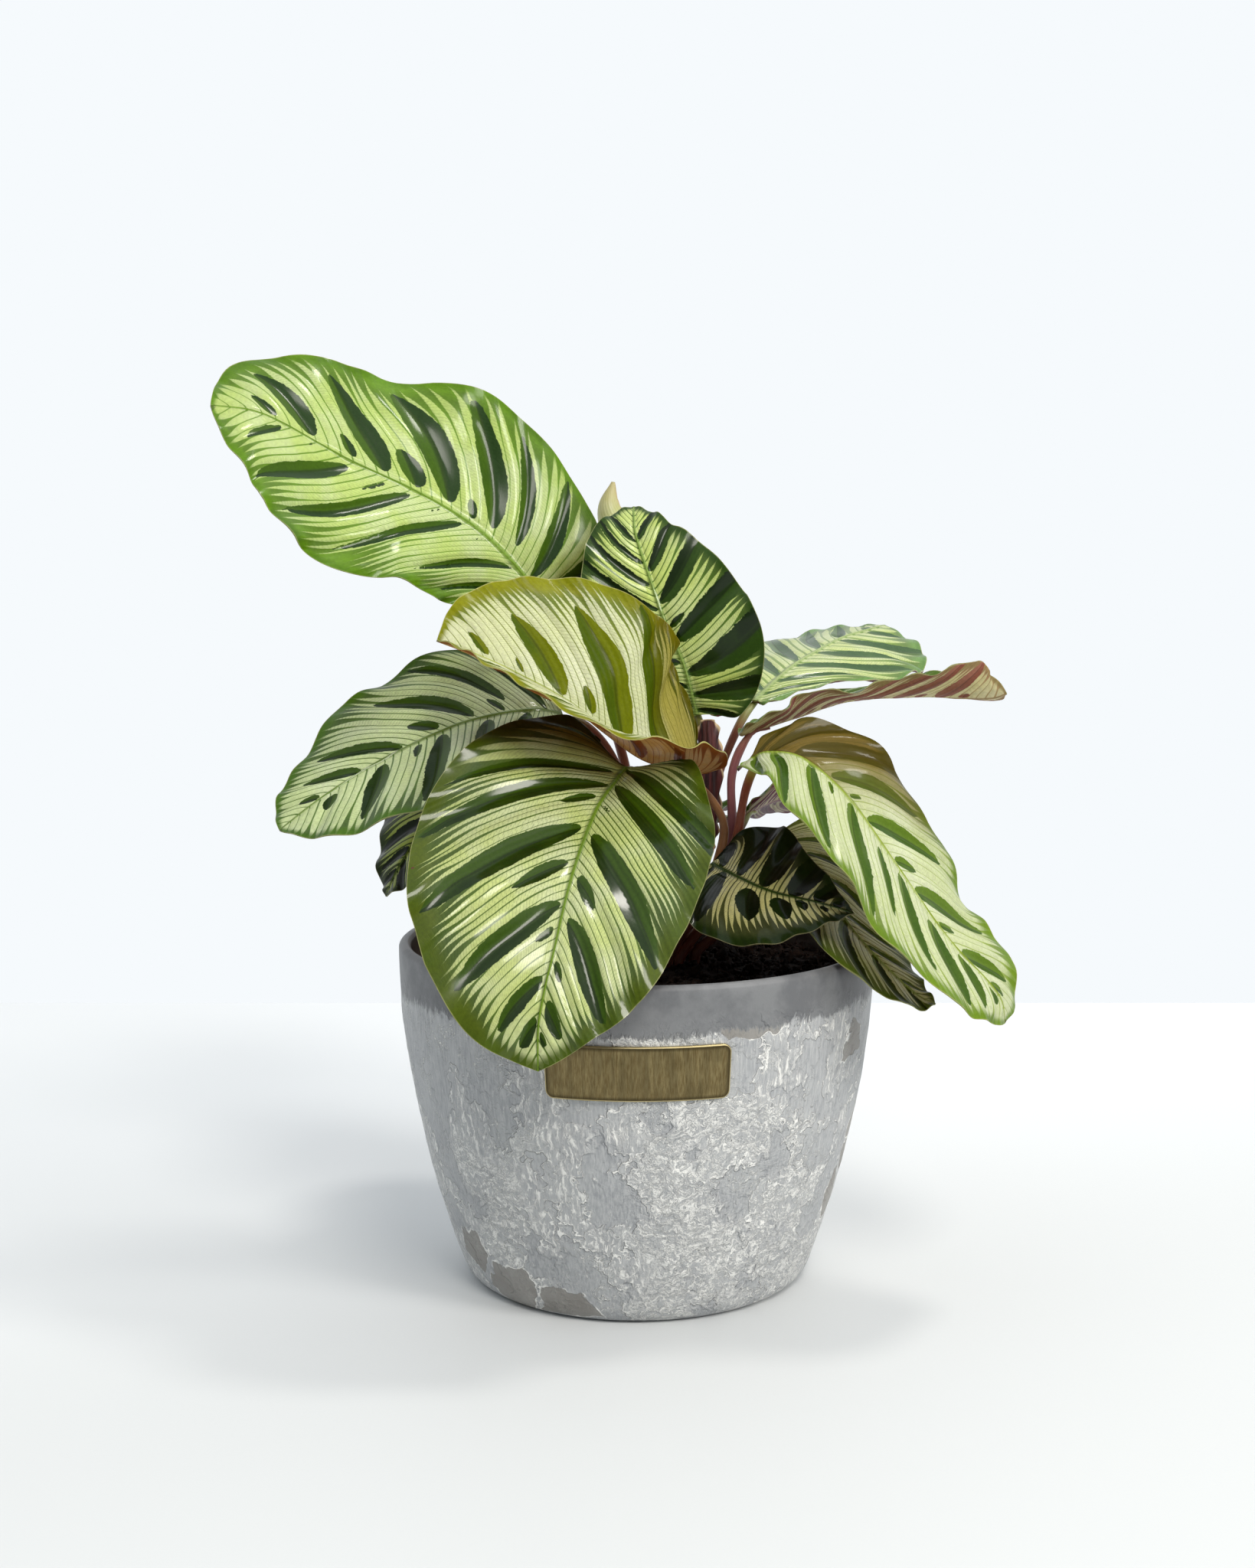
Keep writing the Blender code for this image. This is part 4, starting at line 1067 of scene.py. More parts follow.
def striped_ground(s, colours, spread, broad, line, broaden, rung):
    """Colour of the pale stripes and of the lines between them."""
    ground, line_colour, lobe_colour, _, margin_colour, _ = colours
    inner = s.fade(broad, 0.35, 0.7, ground, s.mix(0.25, ground, "#ffffff"))
    inner = s.mix(s.smooth(spread, 0.35, 1.0, 0.0, 0.35), inner, s.mix(0.5, ground, margin_colour))
    inner = s.mix(s.times(rung, 0.30), inner, line_colour)
    dark_line = s.fade(broaden, 0.0, 0.5, line_colour, s.mix(0.5, line_colour, lobe_colour))
    dark_line = s.fade(broaden, 0.5, 1.0, dark_line, margin_colour)
    return s.mix(s.times(line, 0.92), inner, dark_line)


def with_lobes(s, colour, colours, place, lobe, across, fine, broad):
    """The colour with ragged dark lobes: painted light and shade across them, and painted shade along the
    crease.
    """
    _, _, lobe_colour, lobe_side_shading, _, _ = colours
    ragged = s.plus(s.minus(fine, 0.5), lobe)
    ragged = s.scaled(s.minus(s.noise(330, 2, 0.5, place), 0.5), 1.1, ragged)
    # Painted light and shade across each lobe, from one side of its centre line to the other
    shade = s.fade(across, -0.10, 0.30, lobe_side_shading, lobe_colour)
    shade = s.mix(s.smooth(broad, 0.45, 0.75, 0.0, 0.4), shade, lobe_side_shading)
    # Painted shade along the crease
    crease = s.near(across, 0.0, 0.02, 0.22)
    shade = s.mix(s.times(crease, 0.65), shade, s.mix(0.6, lobe_colour, "#070c04"))
    return s.fade(ragged, -0.10, 0.14, colour, shade)


def with_painted_shade(s, colour, vein, broad, shade_near_stalk):
    """The colour with the painted shade near the stalk, as listed for each leaf."""
    half, full, ends, brown, faded = shade_near_stalk
    offset = LEFT_OFFSET if half == "left" else 0
    wander = s.scaled(broad, 0.08, vein)
    share = s.smooth(wander, full + 0.04 + offset, ends + 0.04 + offset, 1.0, 0.0)
    if offset:
        share = s.times(share, s.smooth(vein, 2.0, 2.2))
    colour = s.mix(s.times(share, faded), colour, SHADE_OLIVE)
    # The colour is multiplied by the tint of the painted shade
    return s.mix(share, colour, brown, blend="MULTIPLY")


def leaf_material(name, colours, stripes, skin, coat, shade_near_stalk=None):
    """Peacock pattern: pale stripes between fine side veins, dark lobes, a green margin and the midrib."""
    _, line_colour, _, lobe_side_shading, margin_colour, rib_colour = colours
    band = stripes[-1]
    rough, glow, tint = skin
    s = Shade(name)
    vein, spread, lobe = s.numbers("marks")
    across, edge, rib = s.numbers("places")
    place = s.place()
    fine = s.noise(900, 3, 0.6, place)
    broad = s.noise(60, 3, 0.5, place)

    line, broaden, rung, away = stripe_lines(s, vein, spread, fine, broad, stripes)
    colour = striped_ground(s, colours, spread, broad, line, broaden, rung)
    rim_colour = s.fade(broad, 0.38, 0.66, margin_colour, s.mix(0.4, margin_colour, lobe_side_shading))
    colour = s.mix(s.smooth(edge, 0.4 * band, 1.3 * band + 0.6, 0.9, 0.0), colour, rim_colour)
    colour = with_lobes(s, colour, colours, place, lobe, across, fine, broad)
    colour = s.mix(s.smooth(rib, 1.0, 2.4, 0.6, 0.0), colour, line_colour)
    colour = s.mix(s.smooth(rib, 0.75, 1.15, 1.0, 0.0), colour, rib_colour)
    colour = s.mix(s.smooth(edge, 0.06, 0.30, 0.75, 0.0), colour, s.mix(0.55, rib_colour, "#d8c89c"))
    colour = s.mix(0.35, colour, s.fade(fine, 0.3, 0.7, "#c4c4c4", "#ffffff"), blend="MULTIPLY")
    # Painted shade near the stalk, on the blades listed for it
    if shade_near_stalk:
        colour = with_painted_shade(s, colour, vein, broad, shade_near_stalk)

    relief = s.scaled(s.smooth(away, 0.0, 0.5), 0.55, s.times(fine, 0.14))
    relief = s.scaled(s.noise(240, 2, 0.5, place), 0.8, relief)
    relief = s.scaled(rung, -0.10, relief)
    normal = s.bump(relief, 0.00028, 0.8)
    surface = s.surface(
        Base_Color=colour, Roughness=s.smooth(fine, 0.2, 0.8, rough - 0.04, rough + 0.10), IOR=1.45,
        Specular_IOR_Level=0.10, Coat_Weight=coat, Coat_Roughness=0.13, Coat_IOR=1.5, Normal=normal,
    )
    tinted = s.mix(1.0, colour, tint, blend="MULTIPLY")
    return s.done(s.lit_through(surface, glow, tinted, Normal=normal))


def stalk_material(name, colours):
    """Stalk skin: darker at the foot, with fine lengthwise streaks, and paler where it joins the blade."""
    foot, middle, joint = colours
    s = Shade(name)
    along, round_it, _ = s.numbers("places")
    skin_place = s.node("CombineXYZ", {0: s.times(round_it, 3.0), 1: along}).outputs[0]
    streak = s.noise(14, 3, 0.6, skin_place)
    patch = s.noise(220, 3, 0.6, s.place())
    colour = s.fade(along, 0.05, 0.55, foot, middle)
    colour = s.fade(along, 0.80, 0.90, colour, joint)
    colour = s.mix(s.smooth(streak, 0.45, 0.75, 0.0, 0.5), colour, s.mix(0.5, colour, "#c9b070"))
    colour = s.mix(s.smooth(patch, 0.5, 0.8, 0.0, 0.4), colour, s.mix(0.6, colour, "#1c0a08"))
    normal = s.bump(s.plus(streak, s.times(patch, 0.5)), 0.00015, 0.8)
    return s.done(s.surface(
        Base_Color=colour, Roughness=s.smooth(patch, 0.2, 0.8, 0.32, 0.5), Specular_IOR_Level=0.5,
        Coat_Weight=0.15, Coat_Roughness=0.25, Normal=normal,
    ))


def soil_height(x, y):
    """The soil rises a little towards the crown."""
    away = math.hypot(x - CROWN[0], y - CROWN[1])
    return SOIL_LEVEL + SOIL_MOUND * math.exp(-((away / SOIL_MOUND_SPREAD) ** 2))


def stalk_foot(x, y):
    """The straight part of a stalk, from its hole to just above the soil."""
    return [(x, y, HOLE_BOTTOM + STALK_START), (x, y, soil_height(x, y) + STALK_STRAIGHT)]


def stalk_path(leaf):
    """The stalk's centre line up to its seat under the blade, and on along the underside of the midrib."""
    base, following = np.array(leaf["midrib"][:2])
    along = unit(following - base)
    up = unit(np.array(leaf["face"][0]) - along * along.dot(leaf["face"][0]))
    foot, *upper = leaf["stalk"]
    under = [tuple(base + along * onward - up * below) for onward, below in (STALK_SEAT, STALK_RUNOUT)]
    return smooth_curve(stalk_foot(*foot) + upper + under)


def tube(path, radii, sides):
    """Points, faces and fields of a closed tube, with rounded ends left to the radii."""
    along = unit(np.gradient(path, axis=0))
    side = unit(np.cross(along[0], (0.3, 1, 0.2)))
    angles = angles_round(sides)
    points, fields = [], []
    for index, (point, direction, radius) in enumerate(zip(path, along, radii)):
        side = unit(side - direction * side.dot(direction))
        other = np.cross(direction, side)
        ring = np.cos(angles)[:, None] * side + np.sin(angles)[:, None] * other
        points.append(point + radius[:, None] * ring)
        share = index / (len(path) - 1)
        fields.append(np.stack([np.full(sides, share), np.abs(angles / math.pi - 1), np.zeros(sides)], -1))
    faces = ring_faces(len(path), sides)
    faces.append(tuple(reversed(range(sides))))
    faces.append(tuple(range((len(path) - 1) * sides, len(path) * sides)))
    return np.vstack(points), faces, np.vstack(fields)


def even_points(curve, count):
    """Points at even distances along a fine curve."""
    run = distances(curve)
    return along_curve(np.linspace(0, run[-1], count), run, curve)


def add_stalk(name, path, finish, node_name):
    """A stalk with faint ribs, a slight waist below its joint, and a thin end along the midrib."""
    depth, place, width = STALK_WAIST
    end, least, power = STALK_THIN_END
    count, height = STALK_RIBS
    share = np.linspace(0, 1, STALK_RINGS)
    radii = STALK_FOOT_RADIUS + (STALK_TOP_RADIUS - STALK_FOOT_RADIUS) * share
    radii = radii * (1 - depth * bell(share - place, width))
    radii = radii * np.clip((1.0 - share) / end, least, 1) ** power
    ribs = np.cos(count * angles_round(STALK_SIDES))
    ribbed = radii[:, None] * (1 + height * ribs * (1 - share)[:, None])
    points, faces, fields = tube(even_points(path, STALK_RINGS), ribbed, STALK_SIDES)
    add_piece(name, points, faces, [finish], [node_name], fields={"places": fields})


def own_or_usual(table, name):
    return table.get(name, table["usual"])


def marks_of(name):
    """The leaf's own markings, or the usual ones, shifted from one leaf to the next."""
    if name in MARKS:
        return MARKS[name]
    phase = 0.1 * list(LEAVES).index(name) % 1
    return dict(lean=USUAL_LEAN, left=usual_lobes(phase), right=usual_lobes(0.55))


def add_leaves():
    for name, leaf in LEAVES.items():
        stripes = own_or_usual(STRIPES, name)
        greens, purples = own_or_usual(GREENS, name), own_or_usual(PURPLES, name)
        coat = own_or_usual(COATS, name)
        upper = leaf_material(name + "_upper", greens, stripes, UPPER_SKIN, coat, PAINTED_SHADE_NEAR_STALK.get(name))
        lower = leaf_material(name + "_underside", purples, stripes, UNDER_SKIN, UNDER_COAT)
        points, faces, chosen, fields = leaf_mesh(leaf, marks_of(name))
        nodes = [name + "_blade"]
        add_piece(name + "_leaf", points, faces, [upper, lower], nodes, 45, fields, chosen)
        skin = stalk_material(name + "_stalk_skin", own_or_usual(STALK_COLOURS, name))
        add_stalk(name + "_stem", stalk_path(leaf), skin, name + "_stalk")


def sheath_material():
    """Papery skin, maroon with a pale edge."""
    s = Shade("sheath_skin")
    _, edge, _ = s.numbers("places")
    lengthwise = s.streaks((900, 900, 60), 4, 0.6, s.place())
    colour = s.fade(lengthwise, 0.35, 0.7, "#2a0f12", "#5d2a2a")
    colour = s.mix(s.smooth(edge, 0.15, 0.8, 0.9, 0.0), colour, "#c8b088")
    rough = s.smooth(lengthwise, 0.2, 0.8, 0.35, 0.55)
    return s.done(s.surface(Base_Color=colour, Roughness=rough, Normal=s.bump(lengthwise, 0.0003, 0.8)))


def add_sheath():
    """The sheath round the stalks at the crown."""
    finish = sheath_material()
    bare = dict(lean=(0, 0), left=[], right=[])
    points, faces, chosen, fields = leaf_mesh(SHEATH, bare, SHEATH_ROWS, SHEATH_HALF_COLUMNS)
    add_piece("stem_sheath", points, faces, [finish, finish], ["crown_sheath"], 45, fields, chosen)


def young_leaf_material():
    """Pale green skin with fine lines along the roll, and browner at its free edge and its tip."""
    s = Shade("young_leaf_skin")
    along, round_it, _ = s.numbers("places")
    lines = s.calc("PINGPONG", s.times(round_it, 26.0), 0.5)
    patch = s.noise(160, 3, 0.5, s.place())
    colour = s.fade(patch, 0.35, 0.7, "#d8dfae", "#c3cc86")
    colour = s.mix(s.smooth(lines, 0.05, 0.2, 0.4, 0.0), colour, "#9aa860")
    colour = s.fade(round_it, 0.93, 1.0, colour, "#c79a80")
    colour = s.mix(s.smooth(along, 0.75, 1.0, 0.0, 0.7), colour, "#b9a56c")
    skin = s.surface(
        Base_Color=colour, Roughness=0.42, Coat_Weight=0.2, Coat_Roughness=0.25,
        Normal=s.bump(lines, 0.0002, 0.5),
    )
    return s.done(s.lit_through(skin, 0.25, colour))


def add_young_leaf():
    """The rolled leaf, a spindle with the free edge of the roll winding up it, and its stalk."""
    path = even_points(smooth_curve([(*point, radius) for point, radius in YOUNG_ROLL]), ROLL_RINGS)
    angles = np.arange(ROLL_SIDES) / ROLL_SIDES
    turns = (angles + ROLL_TURNS * np.arange(ROLL_RINGS)[:, None] / ROLL_RINGS) % 1
    least, growth = ROLL_GROWTH
    points, faces, fields = tube(path[:, :3], path[:, 3:] * (least + growth * turns), ROLL_SIDES)
    fields[:, 1] = turns.ravel()
    finish = young_leaf_material()
    nodes = ["young_leaf_roll"]
    add_piece("rolled_young_leaf", points, faces, [finish], nodes, 40, {"places": fields})

    foot, *upper = YOUNG_STALK
    path = smooth_curve(stalk_foot(*foot) + upper + YOUNG_STALK_END)
    skin = stalk_material("young_leaf_stalk_skin", STALK_COLOURS["young_leaf"])
    add_stalk("young_leaf_stem", path, skin, "young_leaf_stalk")


def wall_radius(z):
    """Outer radius of the pot at this height: a bulging taper, with a rounded corner at the foot."""
    radius = FOOT_RADIUS + (RIM_RADIUS - FOOT_RADIUS) * (1 - (1 - z / POT_HEIGHT) ** WALL_BULGE)
    if z < FOOT_CORNER:
        radius -= FOOT_DRAWN_IN * (FOOT_CORNER - math.sqrt(FOOT_CORNER**2 - (FOOT_CORNER - z) ** 2))
    return radius


def turned(profile, sides, shape):
    """Points and faces of a solid turned round Z; shape(radius, angle, z) is a point's radius and z."""
    points = [(0, 0, profile[0][1]), (0, 0, profile[-1][1])]
    for radius, z in profile[1:-1]:
        for k in range(sides):
            angle = 2 * math.pi * k / sides
            r, height = shape(radius, angle, z)
            points.append((r * math.cos(angle), r * math.sin(angle), height))
    faces = ring_faces(len(profile) - 2, sides, 2)
    top = len(points) - sides
    for k in range(sides):
        following = (k + 1) % sides
        faces.append((0, 2 + following, 2 + k))
        faces.append((1, top + k, top + following))
    return points, faces


def bent_place(s, place):
    """The place, shifted here and there, so that noise at it has torn and curled shapes."""
    bent = place
    for scale, reach in ((60.0, 0.010), (240.0, 0.0024)):
        warp = s.node("TexNoise", {"Vector": place, "Scale": scale, "Detail": 3.0, "Roughness": 0.65})
        shift = s.vectors("SUBTRACT", warp.outputs[1], (0.5, 0.5, 0.5))
        shift = s.node("VectorMath", {0: shift, 3: reach * 2}, operation="SCALE").outputs[0]
        bent = s.vectors("ADD", bent, shift)
    return bent


def chalk_cover(s, bent, broken, sheets, scales, flakes, fibres, shelved):
    """Sheets of chalky fibres over the grey, with shelves in places; their torn edges are bright lines."""
    torn = s.times(s.near(sheets, 0.485, 0.001, 0.009), s.smooth(broken, 0.40, 0.55, 0.1, 1.0))
    cracks = s.times(s.near(scales, 0.5, 0.001, 0.007), s.smooth(broken, 0.42, 0.58, 0.0, 0.9))
    torn = s.larger(torn, cracks)
    curls = s.near(s.noise(230, 4, 0.6, bent), 0.5, 0.0, 0.035)
    shelves = s.larger(s.near(flakes, 0.5, 0.0, 0.05), s.times(curls, 0.8))
    mixed = s.node("Mix", {0: shelved, 2: s.smooth(fibres, 0.47, 0.62), 3: shelves}).outputs[0]
    chalk = s.times(s.smooth(sheets, 0.470, 0.520), s.scaled(mixed, 0.80, 0.04))
    sparse = s.times(s.smooth(fibres, 0.60, 0.70), 0.5)
    return s.larger(s.larger(chalk, sparse), s.times(torn, 0.95))


def stone_chips(s, place, bent, broken):
    """A few smooth chips with angular outlines, and those outlines."""
    cells = {"Vector": s.vectors("ADD", bent, place), "Scale": 23.0}
    cell = s.node("TexVoronoi", cells).outputs["Color"]
    edge = s.node("TexVoronoi", cells, feature="DISTANCE_TO_EDGE").outputs[0]
    chosen = s.smooth(s.parts(cell)[0], 0.90, 0.905)
    inset = s.scaled(s.minus(broken, 0.5), 0.25, edge)
    chips = s.times(chosen, s.smooth(inset, 0.060, 0.075))
    return chips, s.times(chosen, s.near(inset, 0.055, 0.006, 0.022))


def stone_material():
    """Moulded stone look: grey with upright brush marks, chalky fibres, flaky shelves and smooth chips."""
    s = Shade("stone_look")
    place = s.place()
    height = s.parts(place)[2]
    bent = bent_place(s, place)
    upward = s.node("Mix", {0: 0.3, 4: place, 5: bent}, data_type="VECTOR").outputs[1]
    broken = s.noise(60, 4, 0.65, place)
    brush = s.streaks((1300, 1300, 60), 4, 0.7, place)
    sheets = s.streaks((34, 34, 24), 4, 0.55, bent)
    fibres = s.streaks((700, 700, 90), 4, 0.7, upward)
    scales = s.streaks((70, 70, 44), 5, 0.6, bent)
    flakes = s.streaks((110, 110, 330), 4, 0.6, bent)
    shelved = s.smooth(s.noise(15, 2, 0.5, place), 0.47, 0.57)
    chalk = chalk_cover(s, bent, broken, sheets, scales, flakes, fibres, shelved)
    chips, outline = stone_chips(s, place, bent, broken)

    # The band under the rim has no chips and hardly any chalk
    ragged = s.scaled(fibres, 0.010, s.scaled(broken, 0.012, height))
    band = s.smooth(ragged, *BAND_START)
    lower = s.minus(1.0, band)
    chips = s.times(chips, lower)
    chalk = s.times(chalk, s.minus(1.0, s.times(chips, 0.93)))
    chalk = s.larger(chalk, s.times(outline, s.smooth(broken, 0.44, 0.54, 0.0, 0.9)))
    chalk = s.times(chalk, s.scaled(lower, 0.94, 0.06))

    colour = s.fade(brush, 0.30, 0.70, "#93969a", "#b5b7b8")
    colour = s.mix(s.smooth(broken, 0.40, 0.70, 0.0, 0.4), colour, "#babdbd")
    chip_colour = s.fade(broken, 0.3, 0.7, "#85827d", "#969490")
    colour = s.mix(s.times(chips, 0.95), colour, chip_colour)
    colour = s.mix(chalk, colour, "#f2f2ee")
    colour = s.mix(band, colour, s.fade(broken, 0.35, 0.65, "#66686b", "#7a7c7e"))
    # Painted shade on the inside of the pot
    colour = s.mix(s.numbers("places")[0], colour, "#4b4139")

    relief = s.scaled(chalk, 0.60, s.times(s.noise(1500, 3, 0.6, place), 0.20))
    relief = s.scaled(chips, -0.60, relief)
    relief = s.scaled(s.times(flakes, s.times(shelved, lower)), 3.4, relief)
    relief = s.scaled(s.times(brush, lower), 0.25, relief)
    slabs = s.scaled(s.smooth(scales, 0.44, 0.56), 0.6, s.smooth(sheets, 0.455, 0.50))
    coarse = s.bump(s.times(slabs, s.smooth(height, 0.110, 0.122, 1.0, 0.0)), 0.0007, 0.7)
    return s.done(s.surface(
        Base_Color=colour, Roughness=s.smooth(chalk, 0.0, 1.0, 0.48, 0.72), Specular_IOR_Level=0.35,
        Normal=s.bump(relief, 0.0004, 0.9, coarse),
    ))


def pot_profile():
    """Radius and height from the middle of the underside, round the rim, to the middle of the floor."""
    lip = RIM_WIDTH / 2
    outside = [(wall_radius(z), z) for z in (*FOOT_HEIGHTS, *np.linspace(*WALL_HEIGHTS))]
    rounded = []
    for angle in np.linspace(*LIP_ARC):
        rounded.append((RIM_RADIUS - lip + lip * math.cos(angle), POT_HEIGHT - lip + lip * math.sin(angle)))
    inside = [(wall_radius(z) - WALL, z) for z in INSIDE_HEIGHTS]
    return [(0, 0), *outside, *rounded, *inside, (0, FLOOR)]


def uneven(radius, angle, z):
    """Radius and height of a point of the pot: the outside swells a little, and the foot has its notch."""
    x, y = radius * math.cos(angle), radius * math.sin(angle)
    low, high = SWELL_HEIGHTS
    fade_in, fade_out = SWELL_FADES
    fade = 0.0
    if low <= z <= high and radius >= wall_radius(z) - OUTSIDE_DEPTH:
        fade = min(1.0, (z - low) / fade_in, (high - z) / fade_out)
    swell = noise.fractal(Vector((x, y, z)) * SWELL_SCALE, 0.8, 2.1, 4)
    notch = abs(y + radius) < FRONT_REACH and abs(x) < NOTCH_WIDTH / 2
    lift = NOTCH_HEIGHT if notch and z < NOTCH_HEIGHT else 0.0
    return radius + fade * SWELL * swell, max(z, lift)


def is_shaded_inside(x, y, z):
    """Whether a point of the pot is on its inside, which gets painted shade."""
    return z > INSIDE_HEIGHT and math.hypot(x, y) < wall_radius(min(z, POT_HEIGHT)) - INSIDE_DEPTH


def add_pot():
    """The pot with a slightly uneven outside, a smooth lip, and the notch under the front of its foot."""
    points, faces = turned(pot_profile(), POT_SIDES, uneven)
    inside_shade = [(float(is_shaded_inside(*point)), 0, 0) for point in points]
    add_piece("planter", points, faces, [stone_material()], ["pot"], 60, {"places": inside_shade})


def plate_outline(inset):
    """Points round the plate's outline, moved inwards; close together, so that the edges follow the pot."""
    corner = max(PLATE_CORNER - inset, LEAST_CORNER)
    w = PLATE_WIDTH / 2 - inset - corner
    h = PLATE_HEIGHT / 2 - inset - corner
    found = []
    for cx, cz, turn in ((w, h, 0), (-w, h, 90), (-w, -h, 180), (w, -h, 270)):
        for step in range(CORNER_POINTS):
            a = math.radians(turn + 90 * step / CORNER_POINTS)
            found.append((cx + corner * math.cos(a), cz + corner * math.sin(a)))
        length, count = (2 * w, LONG_SIDE_POINTS) if turn in (0, 180) else (2 * h, SHORT_SIDE_POINTS)
        a = math.radians(turn + 90)
        x, z = cx + corner * math.cos(a), cz + corner * math.sin(a)
        for step in range(count):
            away = length * step / count
            found.append((x - away * math.sin(a), z + away * math.cos(a)))
    return found


def on_plate(across, up, depth):
    """A point on the plate from its place across and up its face, and the height above its back."""
    z = PLATE_CENTRE_Z + up
    radius = wall_radius(z) + PLATE_GAP + depth
    angle = across / wall_radius(PLATE_CENTRE_Z)
    return (radius * math.sin(angle), -radius * math.cos(angle), z)


def fill_plate(points, edges, faces, outline, first, depth):
    """Fills the outline with rings that shrink to the plate's middle line; depth 0 is the back."""
    count = len(outline)
    tall = max(up for _, up in outline)
    spine = max(across for across, _ in outline) - tall
    previous = list(range(first, first + count))
    for share in PLATE_FILL:
        ring = []
        met = {}
        for across, up in outline:
            middle = max(-spine, min(spine, across))
            place = (round(middle + (across - middle) * share, 6), round(up * share, 6))
            if place not in met:
                met[place] = len(points)
                points.append(on_plate(*place, depth))
                edges.append((0, 1 + 1000 * (1 - share) * tall, 0))
            ring.append(met[place])
        for k in range(count):
            corners = (previous[k], previous[(k + 1) % count], ring[(k + 1) % count], ring[k])
            corners = tuple(dict.fromkeys(corners))
            faces.append(corners if depth else corners[::-1])
        previous = ring


def brass_material():
    """Brushed brass colour, darker near the border, with a painted highlight on the edge itself."""
    s = Shade("brushed_brass")
    place = s.place()
    brushed = s.streaks((2200, 2200, 55), 4, 0.65, place)
    broad_brush = s.streaks((500, 500, 12), 2, 0.5, place)
    cloudy = s.noise(110, 3, 0.55, place)
    _, edge, _ = s.numbers("places")
    colour = s.fade(brushed, 0.3, 0.7, "#6b5b3b", "#93855f")
    colour = s.mix(s.smooth(broad_brush, 0.35, 0.7, 0.0, 0.5), colour, "#5a5038")
    colour = s.mix(s.smooth(cloudy, 0.45, 0.75, 0.0, 0.4), colour, "#50472f")
    colour = s.mix(s.smooth(edge, 0.7, 2.1, 0.75, 0.0), colour, "#3c3422")
    # Painted highlight along the edge
    colour = s.mix(s.smooth(edge, 0.40, 0.62, 0.85, 0.0), colour, "#c4b588")
    return s.done(s.surface(
        Base_Color=colour, Metallic=1.0, Roughness=s.smooth(brushed, 0.2, 0.8, 0.36, 0.5),
        Normal=s.bump(s.scaled(cloudy, 0.3, brushed), 0.00006, 0.6),
    ))


def add_plate():
    """The plain plate with rounded corners and softened edges, wrapped to the front of the pot."""
    back, front = plate_outline(0.0), plate_outline(PLATE_RINGS[-1][0])
    points, edges = [], []
    for inset, share in PLATE_RINGS:
        for across, up in plate_outline(inset):
            points.append(on_plate(across, up, share * PLATE_THICKNESS))
            edges.append((0, 1000 * inset, 0))
    faces = ring_faces(len(PLATE_RINGS), len(back))
    fill_plate(points, edges, faces, front, len(points) - len(front), PLATE_THICKNESS)
    fill_plate(points, edges, faces, back, 0, 0.0)
    add_piece("brass_plate", points, faces, [brass_material()], ["plate"], 35, {"places": edges})


def soil_material():
    """Damp potting mix, nearly black, with a few brown crumbs."""
    s = Shade("potting_mix")
    place = s.place()
    tone = s.noise(420, 4, 0.7, place)
    grain = s.noise(1800, 3, 0.7, place)
    colour = s.fade(tone, 0.35, 0.7, "#0b0706", "#2a1a10")
    colour = s.mix(s.smooth(grain, 0.62, 0.75, 0.0, 0.5), colour, "#5a3d24")
    normal = s.bump(grain, 0.0006, 1.0)
    return s.done(s.surface(Base_Color=colour, Roughness=0.93, Specular_IOR_Level=0.2, Normal=normal))


def small_ball(levels):
    """Points and faces of a ball with radius 1."""
    shape = bmesh.new()
    bmesh.ops.create_icosphere(shape, subdivisions=levels, radius=1)
    points = np.array([v.co[:] for v in shape.verts])
    faces = [[v.index for v in f.verts] for f in shape.faces]
    shape.free()
    return points, faces


def spun(a, b):
    """Turns by angle a round Z and by angle b round X."""
    spin = np.array([[math.cos(a), -math.sin(a), 0], [math.sin(a), math.cos(a), 0], [0, 0, 1]])
    tilt = np.array([[1, 0, 0], [0, math.cos(b), -math.sin(b)], [0, math.sin(b), math.cos(b)]])
    return spin, tilt


def add_crumbs(points, faces, top_radius):
    """Loose crumbs of random size and form, pressed into the top of the soil."""
    random = np.random.default_rng(SEED)
    for count, smallest, largest, levels in CRUMBS:
        ball, ball_faces = small_ball(levels)
        for _ in range(count):
            away = top_radius * CRUMB_LIMIT * math.sqrt(random.uniform())
            angle = random.uniform(0, 2 * math.pi)
            x, y = away * math.cos(angle), away * math.sin(angle)
            size = random.uniform(smallest, largest)
            crumb = ball * (1 + CRUMB_UNEVENNESS * random.standard_normal((len(ball), 1)).clip(-1, 1))
            crumb = crumb * random.uniform(*CRUMB_STRETCH, 3) * size
            spin, tilt = spun(*random.uniform(0, 2 * math.pi, 2))
            crumb = crumb @ spin.T @ tilt.T + (x, y, soil_height(x, y) + CRUMB_LIFT * size)
            start = len(points)
            points.extend(map(tuple, crumb))
            faces.extend(tuple(k + start for k in f) for f in ball_faces)


def add_soil():
    """The soil's body with an uneven top and the crumbs on it."""
    gap = WALL + SOIL_GAP
    top_radius = wall_radius(SOIL_LEVEL) - gap
    profile = [(0, SOIL_HEIGHTS[0]), *((wall_radius(z) - gap, z) for z in SOIL_HEIGHTS)]
    profile += [(top_radius * share, SOIL_LEVEL) for share in np.linspace(1, 0.02, SOIL_RINGS)]
    profile.append((0, SOIL_LEVEL))

    def lumpy(radius, angle, z):
        if z < SOIL_LEVEL:
            return radius, z
        x, y = radius * math.cos(angle), radius * math.sin(angle)
        lumps = SOIL_LUMPS * noise.fractal(Vector((x, y, 0.3)) * SOIL_LUMP_SCALE, 0.9, 2.0, 5)
        lumps = lumps * min(1, (1 - radius / top_radius) * SOIL_EDGE)
        return radius, soil_height(x, y) - SOIL_LOWERED + lumps

    points, faces = turned(profile, SOIL_SIDES, lumpy)
    points[1] = (0, 0, points[-1][2])
    add_crumbs(points, faces, top_radius)
    add_piece("potting_soil", points, faces, [soil_material()], ["soil"], 60)


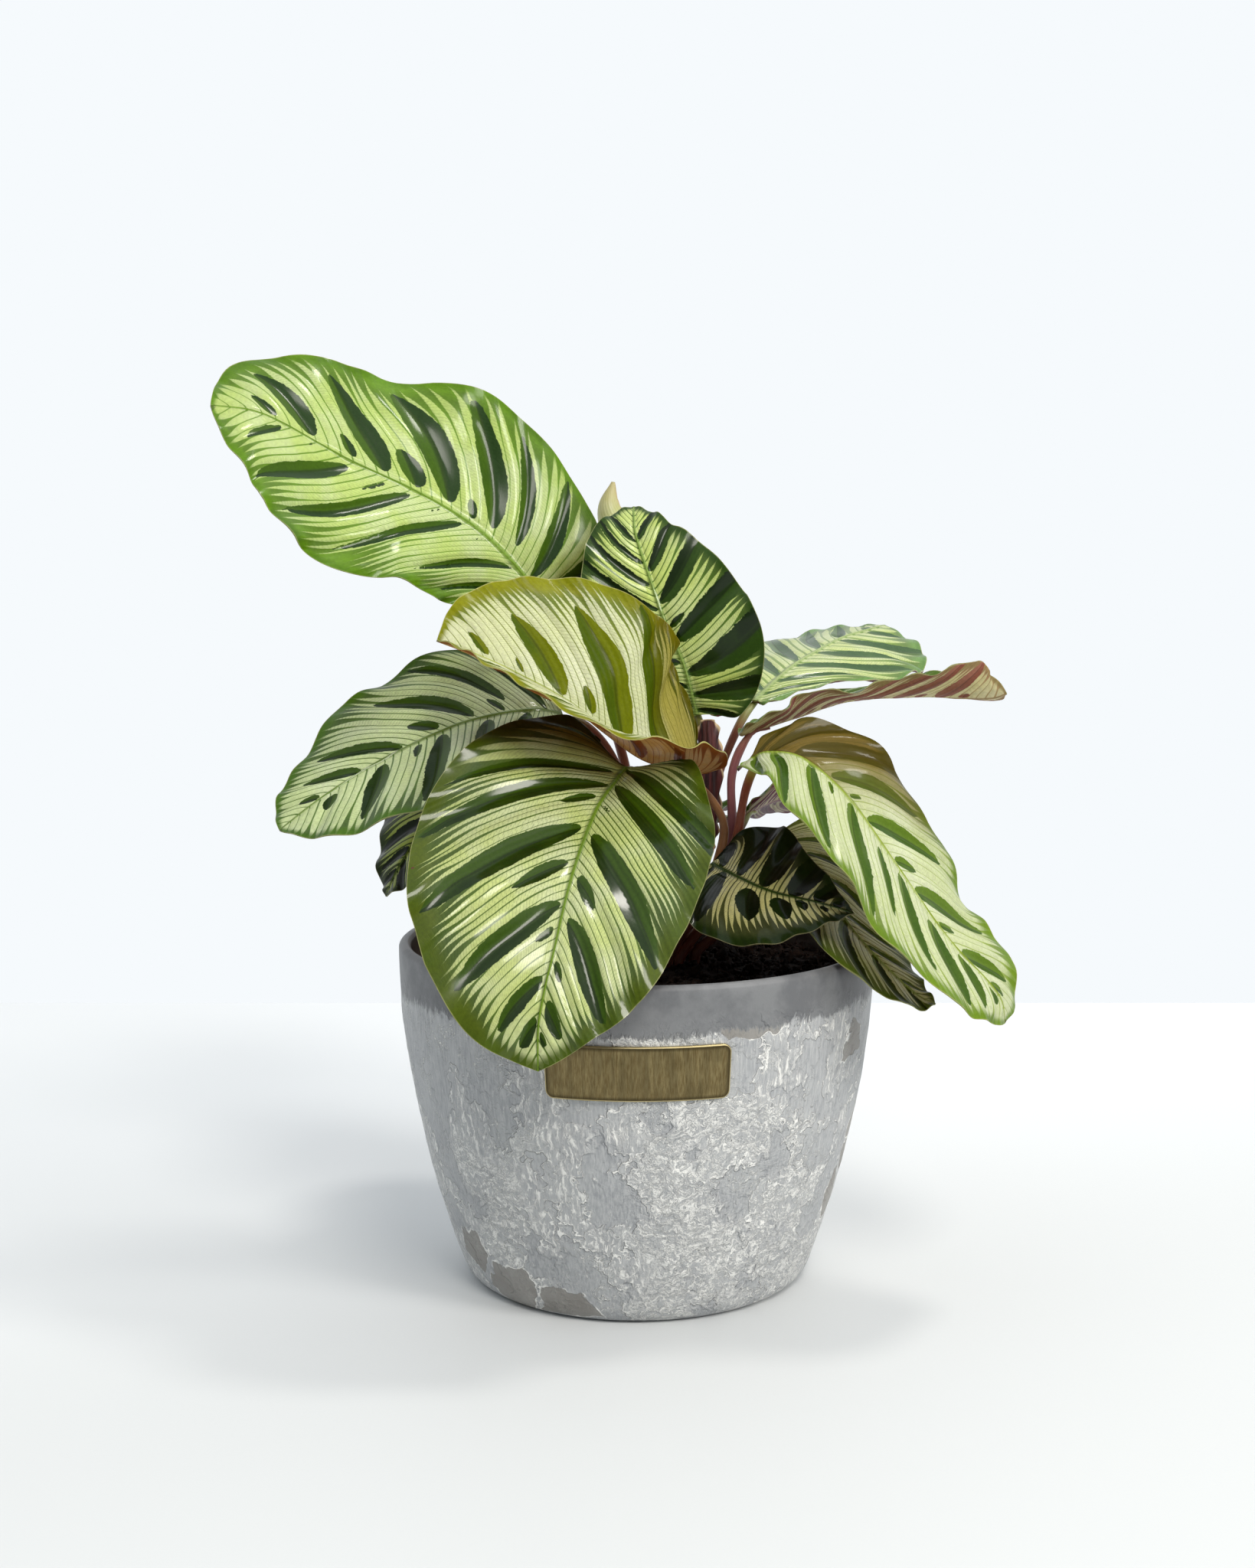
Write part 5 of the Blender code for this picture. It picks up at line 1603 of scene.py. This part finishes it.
def table_material():
    """White paint, with painted light that makes it paler towards the back and the left."""
    s = Shade("white_table")
    place = s.place()
    x, y, _ = s.parts(place)
    further = s.smooth(s.scaled(x, TABLE_SLANT, y), *TABLE_PAINTED_LIGHT)
    rough = s.smooth(s.noise(900, 2, 0.5, place), 0.3, 0.7, 0.5, 0.6)
    colour = s.mix(further, "#d4d7d8", "#eaedef")
    return s.done(s.surface(Base_Color=colour, Roughness=rough, Specular_IOR_Level=0.3))


def add_stage():
    """The white table that the pot stands on."""
    x, back, front = TABLE_SIDE, TABLE_BACK, TABLE_FRONT
    corners = [(-x, front), (x, front), (x, back), (-x, back)]
    points = [(*corner, z) for z in (0, -TABLE_DEPTH) for corner in corners]
    faces = [(0, 1, 2, 3), (7, 6, 5, 4), (0, 4, 5, 1), (1, 5, 6, 2), (2, 6, 7, 3), (3, 7, 4, 0)]
    table = add_object("table", new_mesh("table", points, faces, [table_material()]))


def add_room():
    """A white studio round the plant, bright overhead and behind it."""
    world = bpy.data.worlds.new("white_room")
    bpy.context.scene.world = world
    world.use_nodes = True
    n = Nodes(world.node_tree)
    background = world.node_tree.nodes["Background"]
    look = n.parts(n.node("TexCoord").outputs["Generated"])
    back, top = [n.smooth(look[axis], low, high, DIM_ROOM, full) for axis, low, high, full in BRIGHT_ROOM]
    n.plug(background.inputs["Color"], "#f6fafd")
    n.plug(background.inputs["Strength"], n.larger(back, top))
    bpy.context.scene.view_settings.view_transform = "Standard"


def add_light(name, place, aim, size, power, colour):
    lamp = bpy.data.lights.new(name, "AREA")
    lamp.shape = "DISK"
    lamp.size = size
    lamp.energy = power
    lamp.color = rgb(colour)[:3]
    light = add_object(name, lamp)
    light.location = place
    light.rotation_euler = (Vector(aim) - Vector(place)).to_track_quat("-Z", "Y").to_euler()


def add_camera():
    data = bpy.data.cameras.new("camera")
    data.lens = LENS
    data.sensor_width = SENSOR
    data.clip_start = 0.01
    data.clip_end = 50
    camera = add_object("camera", data)
    camera.location = CAMERA_PLACE
    camera.rotation_euler = (math.radians(90 - CAMERA_TILT), 0, 0)
    bpy.context.scene.camera = camera


add_camera()
add_room()
for settings in LIGHTS:
    add_light(*settings)
add_stage()
add_pot()
add_plate()
add_soil()
add_leaves()
add_sheath()
add_young_leaf()
